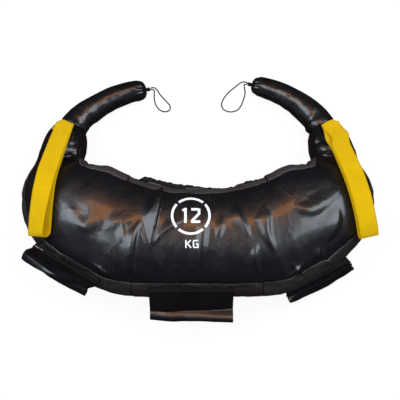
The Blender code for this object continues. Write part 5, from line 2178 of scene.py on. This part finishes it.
@dataclass(frozen=True)
class Lamp:
    """A soft rectangular light.

    Args:
        name: its name.
        place: where it is, in metres.
        size: its sides, in metres.
        power: in watts.
        colour: its colour.
    """

    name: str
    place: tuple[float, float, float]
    size: tuple[float, float]
    power: float
    colour: tuple[float, float, float]

    def build(self) -> None:
        """Puts the light in the scene, turned to the bag."""
        data = bpy.data.lights.new(self.name, "AREA")
        data.shape = "RECTANGLE"
        data.size, data.size_y = self.size
        data.energy = self.power
        data.color = self.colour
        made = bpy.data.objects.new(self.name, data)
        made.location = self.place
        aim = LIGHTS_AIM - made.location
        made.rotation_euler = aim.to_track_quat("-Z", "Y").to_euler()
        bpy.context.scene.collection.objects.link(made)
        made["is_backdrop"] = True


LAMPS = (
    Lamp("left_window", (-1.22, 0.2, 1.75), (1.0, 1.6), 32, (0.82, 0.91, 1.0)),
    Lamp("right_window", (1.15, 0.26, 1.8), (1.15, 1.6), 33, (0.82, 0.91, 1.0)),
    Lamp("warm_strip", (-0.05, 0.62, 2.0), (1.1, 0.34), 8, (1.0, 0.36, 0.05)),
    Lamp("low_left", (-1.4, -1.3, 1.2), (1.6, 0.8), 0.6, (0.75, 0.86, 1.0)),
    Lamp("low_right", (1.4, -1.3, 1.2), (1.6, 0.8), 0.6, (0.75, 0.86, 1.0)),
)


class Stage:
    """The floor, the background and the lights."""

    def build(self) -> None:
        """Makes them all."""
        self.floor()
        self.world()
        for lamp in LAMPS:
            lamp.build()
        bpy.context.scene.view_settings.view_transform = "Standard"

    def floor(self) -> None:
        """A plain pale floor that the camera sees as white and the leather as brown."""
        graph = Graph("floor")
        path = graph.node("ShaderNodeLightPath", "Is Camera Ray", {}, {})
        glossy = graph.node("ShaderNodeLightPath", "Is Glossy Ray", {}, {})
        pale = graph.node("ShaderNodeBsdfDiffuse", 0, {}, {"Color": (0.8, 0.8, 0.8, 1)})
        faint = graph.node("ShaderNodeBsdfDiffuse", 0, {}, {"Color": (0.07, 0.07, 0.07, 1)})
        dark = graph.node("ShaderNodeEmission", 0, {}, {"Color": (0.10, 0.052, 0.03, 1), "Strength": 0.3})
        glow = graph.node("ShaderNodeEmission", 0, {}, {"Color": (1, 1, 1, 1), "Strength": 0.92})
        white = graph.node("ShaderNodeAddShader", 0, {}, {0: glow, 1: faint})
        seen = graph.node("ShaderNodeMixShader", 0, {}, {0: glossy, 1: pale, 2: dark})
        both = graph.node("ShaderNodeMixShader", 0, {}, {0: path, 1: seen, 2: white})
        output = graph.tree.nodes["Material Output"]
        graph.feed(output.inputs["Surface"], both)
        builder = bmesh.new()
        bmesh.ops.create_grid(builder, x_segments=1, y_segments=1, size=6)
        bmesh.ops.translate(builder, verts=builder.verts, vec=(0, 0, -0.3 * MM))
        mesh = bpy.data.meshes.new("floor")
        builder.to_mesh(mesh)
        builder.free()
        mesh.materials.append(graph.material)
        made = bpy.data.objects.new("floor", mesh)
        bpy.context.scene.collection.objects.link(made)
        made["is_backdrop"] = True

    @staticmethod
    def world() -> None:
        """A white background for the camera, and a dim room for everything else."""
        world = bpy.data.worlds.new("room")
        world.use_nodes = True
        bpy.context.scene.world = world
        tree = world.node_tree
        background = tree.nodes["Background"]
        path = tree.nodes.new("ShaderNodeLightPath")
        matte = tree.nodes.new("ShaderNodeMix")
        matte.data_type = "RGBA"
        matte.inputs[6].default_value = (0.62, 0.62, 0.64, 1)
        matte.inputs[7].default_value = (0.012, 0.013, 0.019, 1)
        seen = tree.nodes.new("ShaderNodeMix")
        seen.data_type = "RGBA"
        seen.inputs[7].default_value = (1, 1, 1, 1)
        tree.links.new(path.outputs["Is Glossy Ray"], matte.inputs[0])
        tree.links.new(path.outputs["Is Camera Ray"], seen.inputs[0])
        tree.links.new(matte.outputs[2], seen.inputs[6])
        tree.links.new(seen.outputs[2], background.inputs["Color"])


def write_size(key: str, found: dict) -> None:
    """Adds the object's box to the boxes found so far.

    Args:
        key: whose box it is.
        found: the boxes so far.
    """
    low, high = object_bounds()
    found[key] = {"low": [round(v, 5) for v in low], "high": [round(v, 5) for v in high]}


def main() -> None:
    """Builds the whole surface on the frame."""
    logging.basicConfig(level=logging.INFO, format="%(message)s")
    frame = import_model()
    sizes: dict = {}
    write_size("part", sizes)
    joints = {joint["name"]: joint for joint in frame["joints"]}
    photo = Photo()
    photo.add_camera()
    bag = Bag()
    horns = [Horn(bag, label) for label in SIDES]
    for horn in horns:
        horn.cord()
    skin = Skin(bag, photo)
    for panel in PANELS:
        panel.build(skin)
    Mouth(bag).build()
    Filling(bag).build()
    for horn in horns:
        horn.shoulder(skin)
        horn.grip()
    for label in STRAPS:
        HandStrap(bag, skin, label).build()
    tree = skin.tree()
    for label in SLEEVES_SHARES:
        HandSleeve(bag, tree, label, joints).build()
    Stage().build()
    write_size("scene", sizes)


if __name__ == "__main__":
    main()
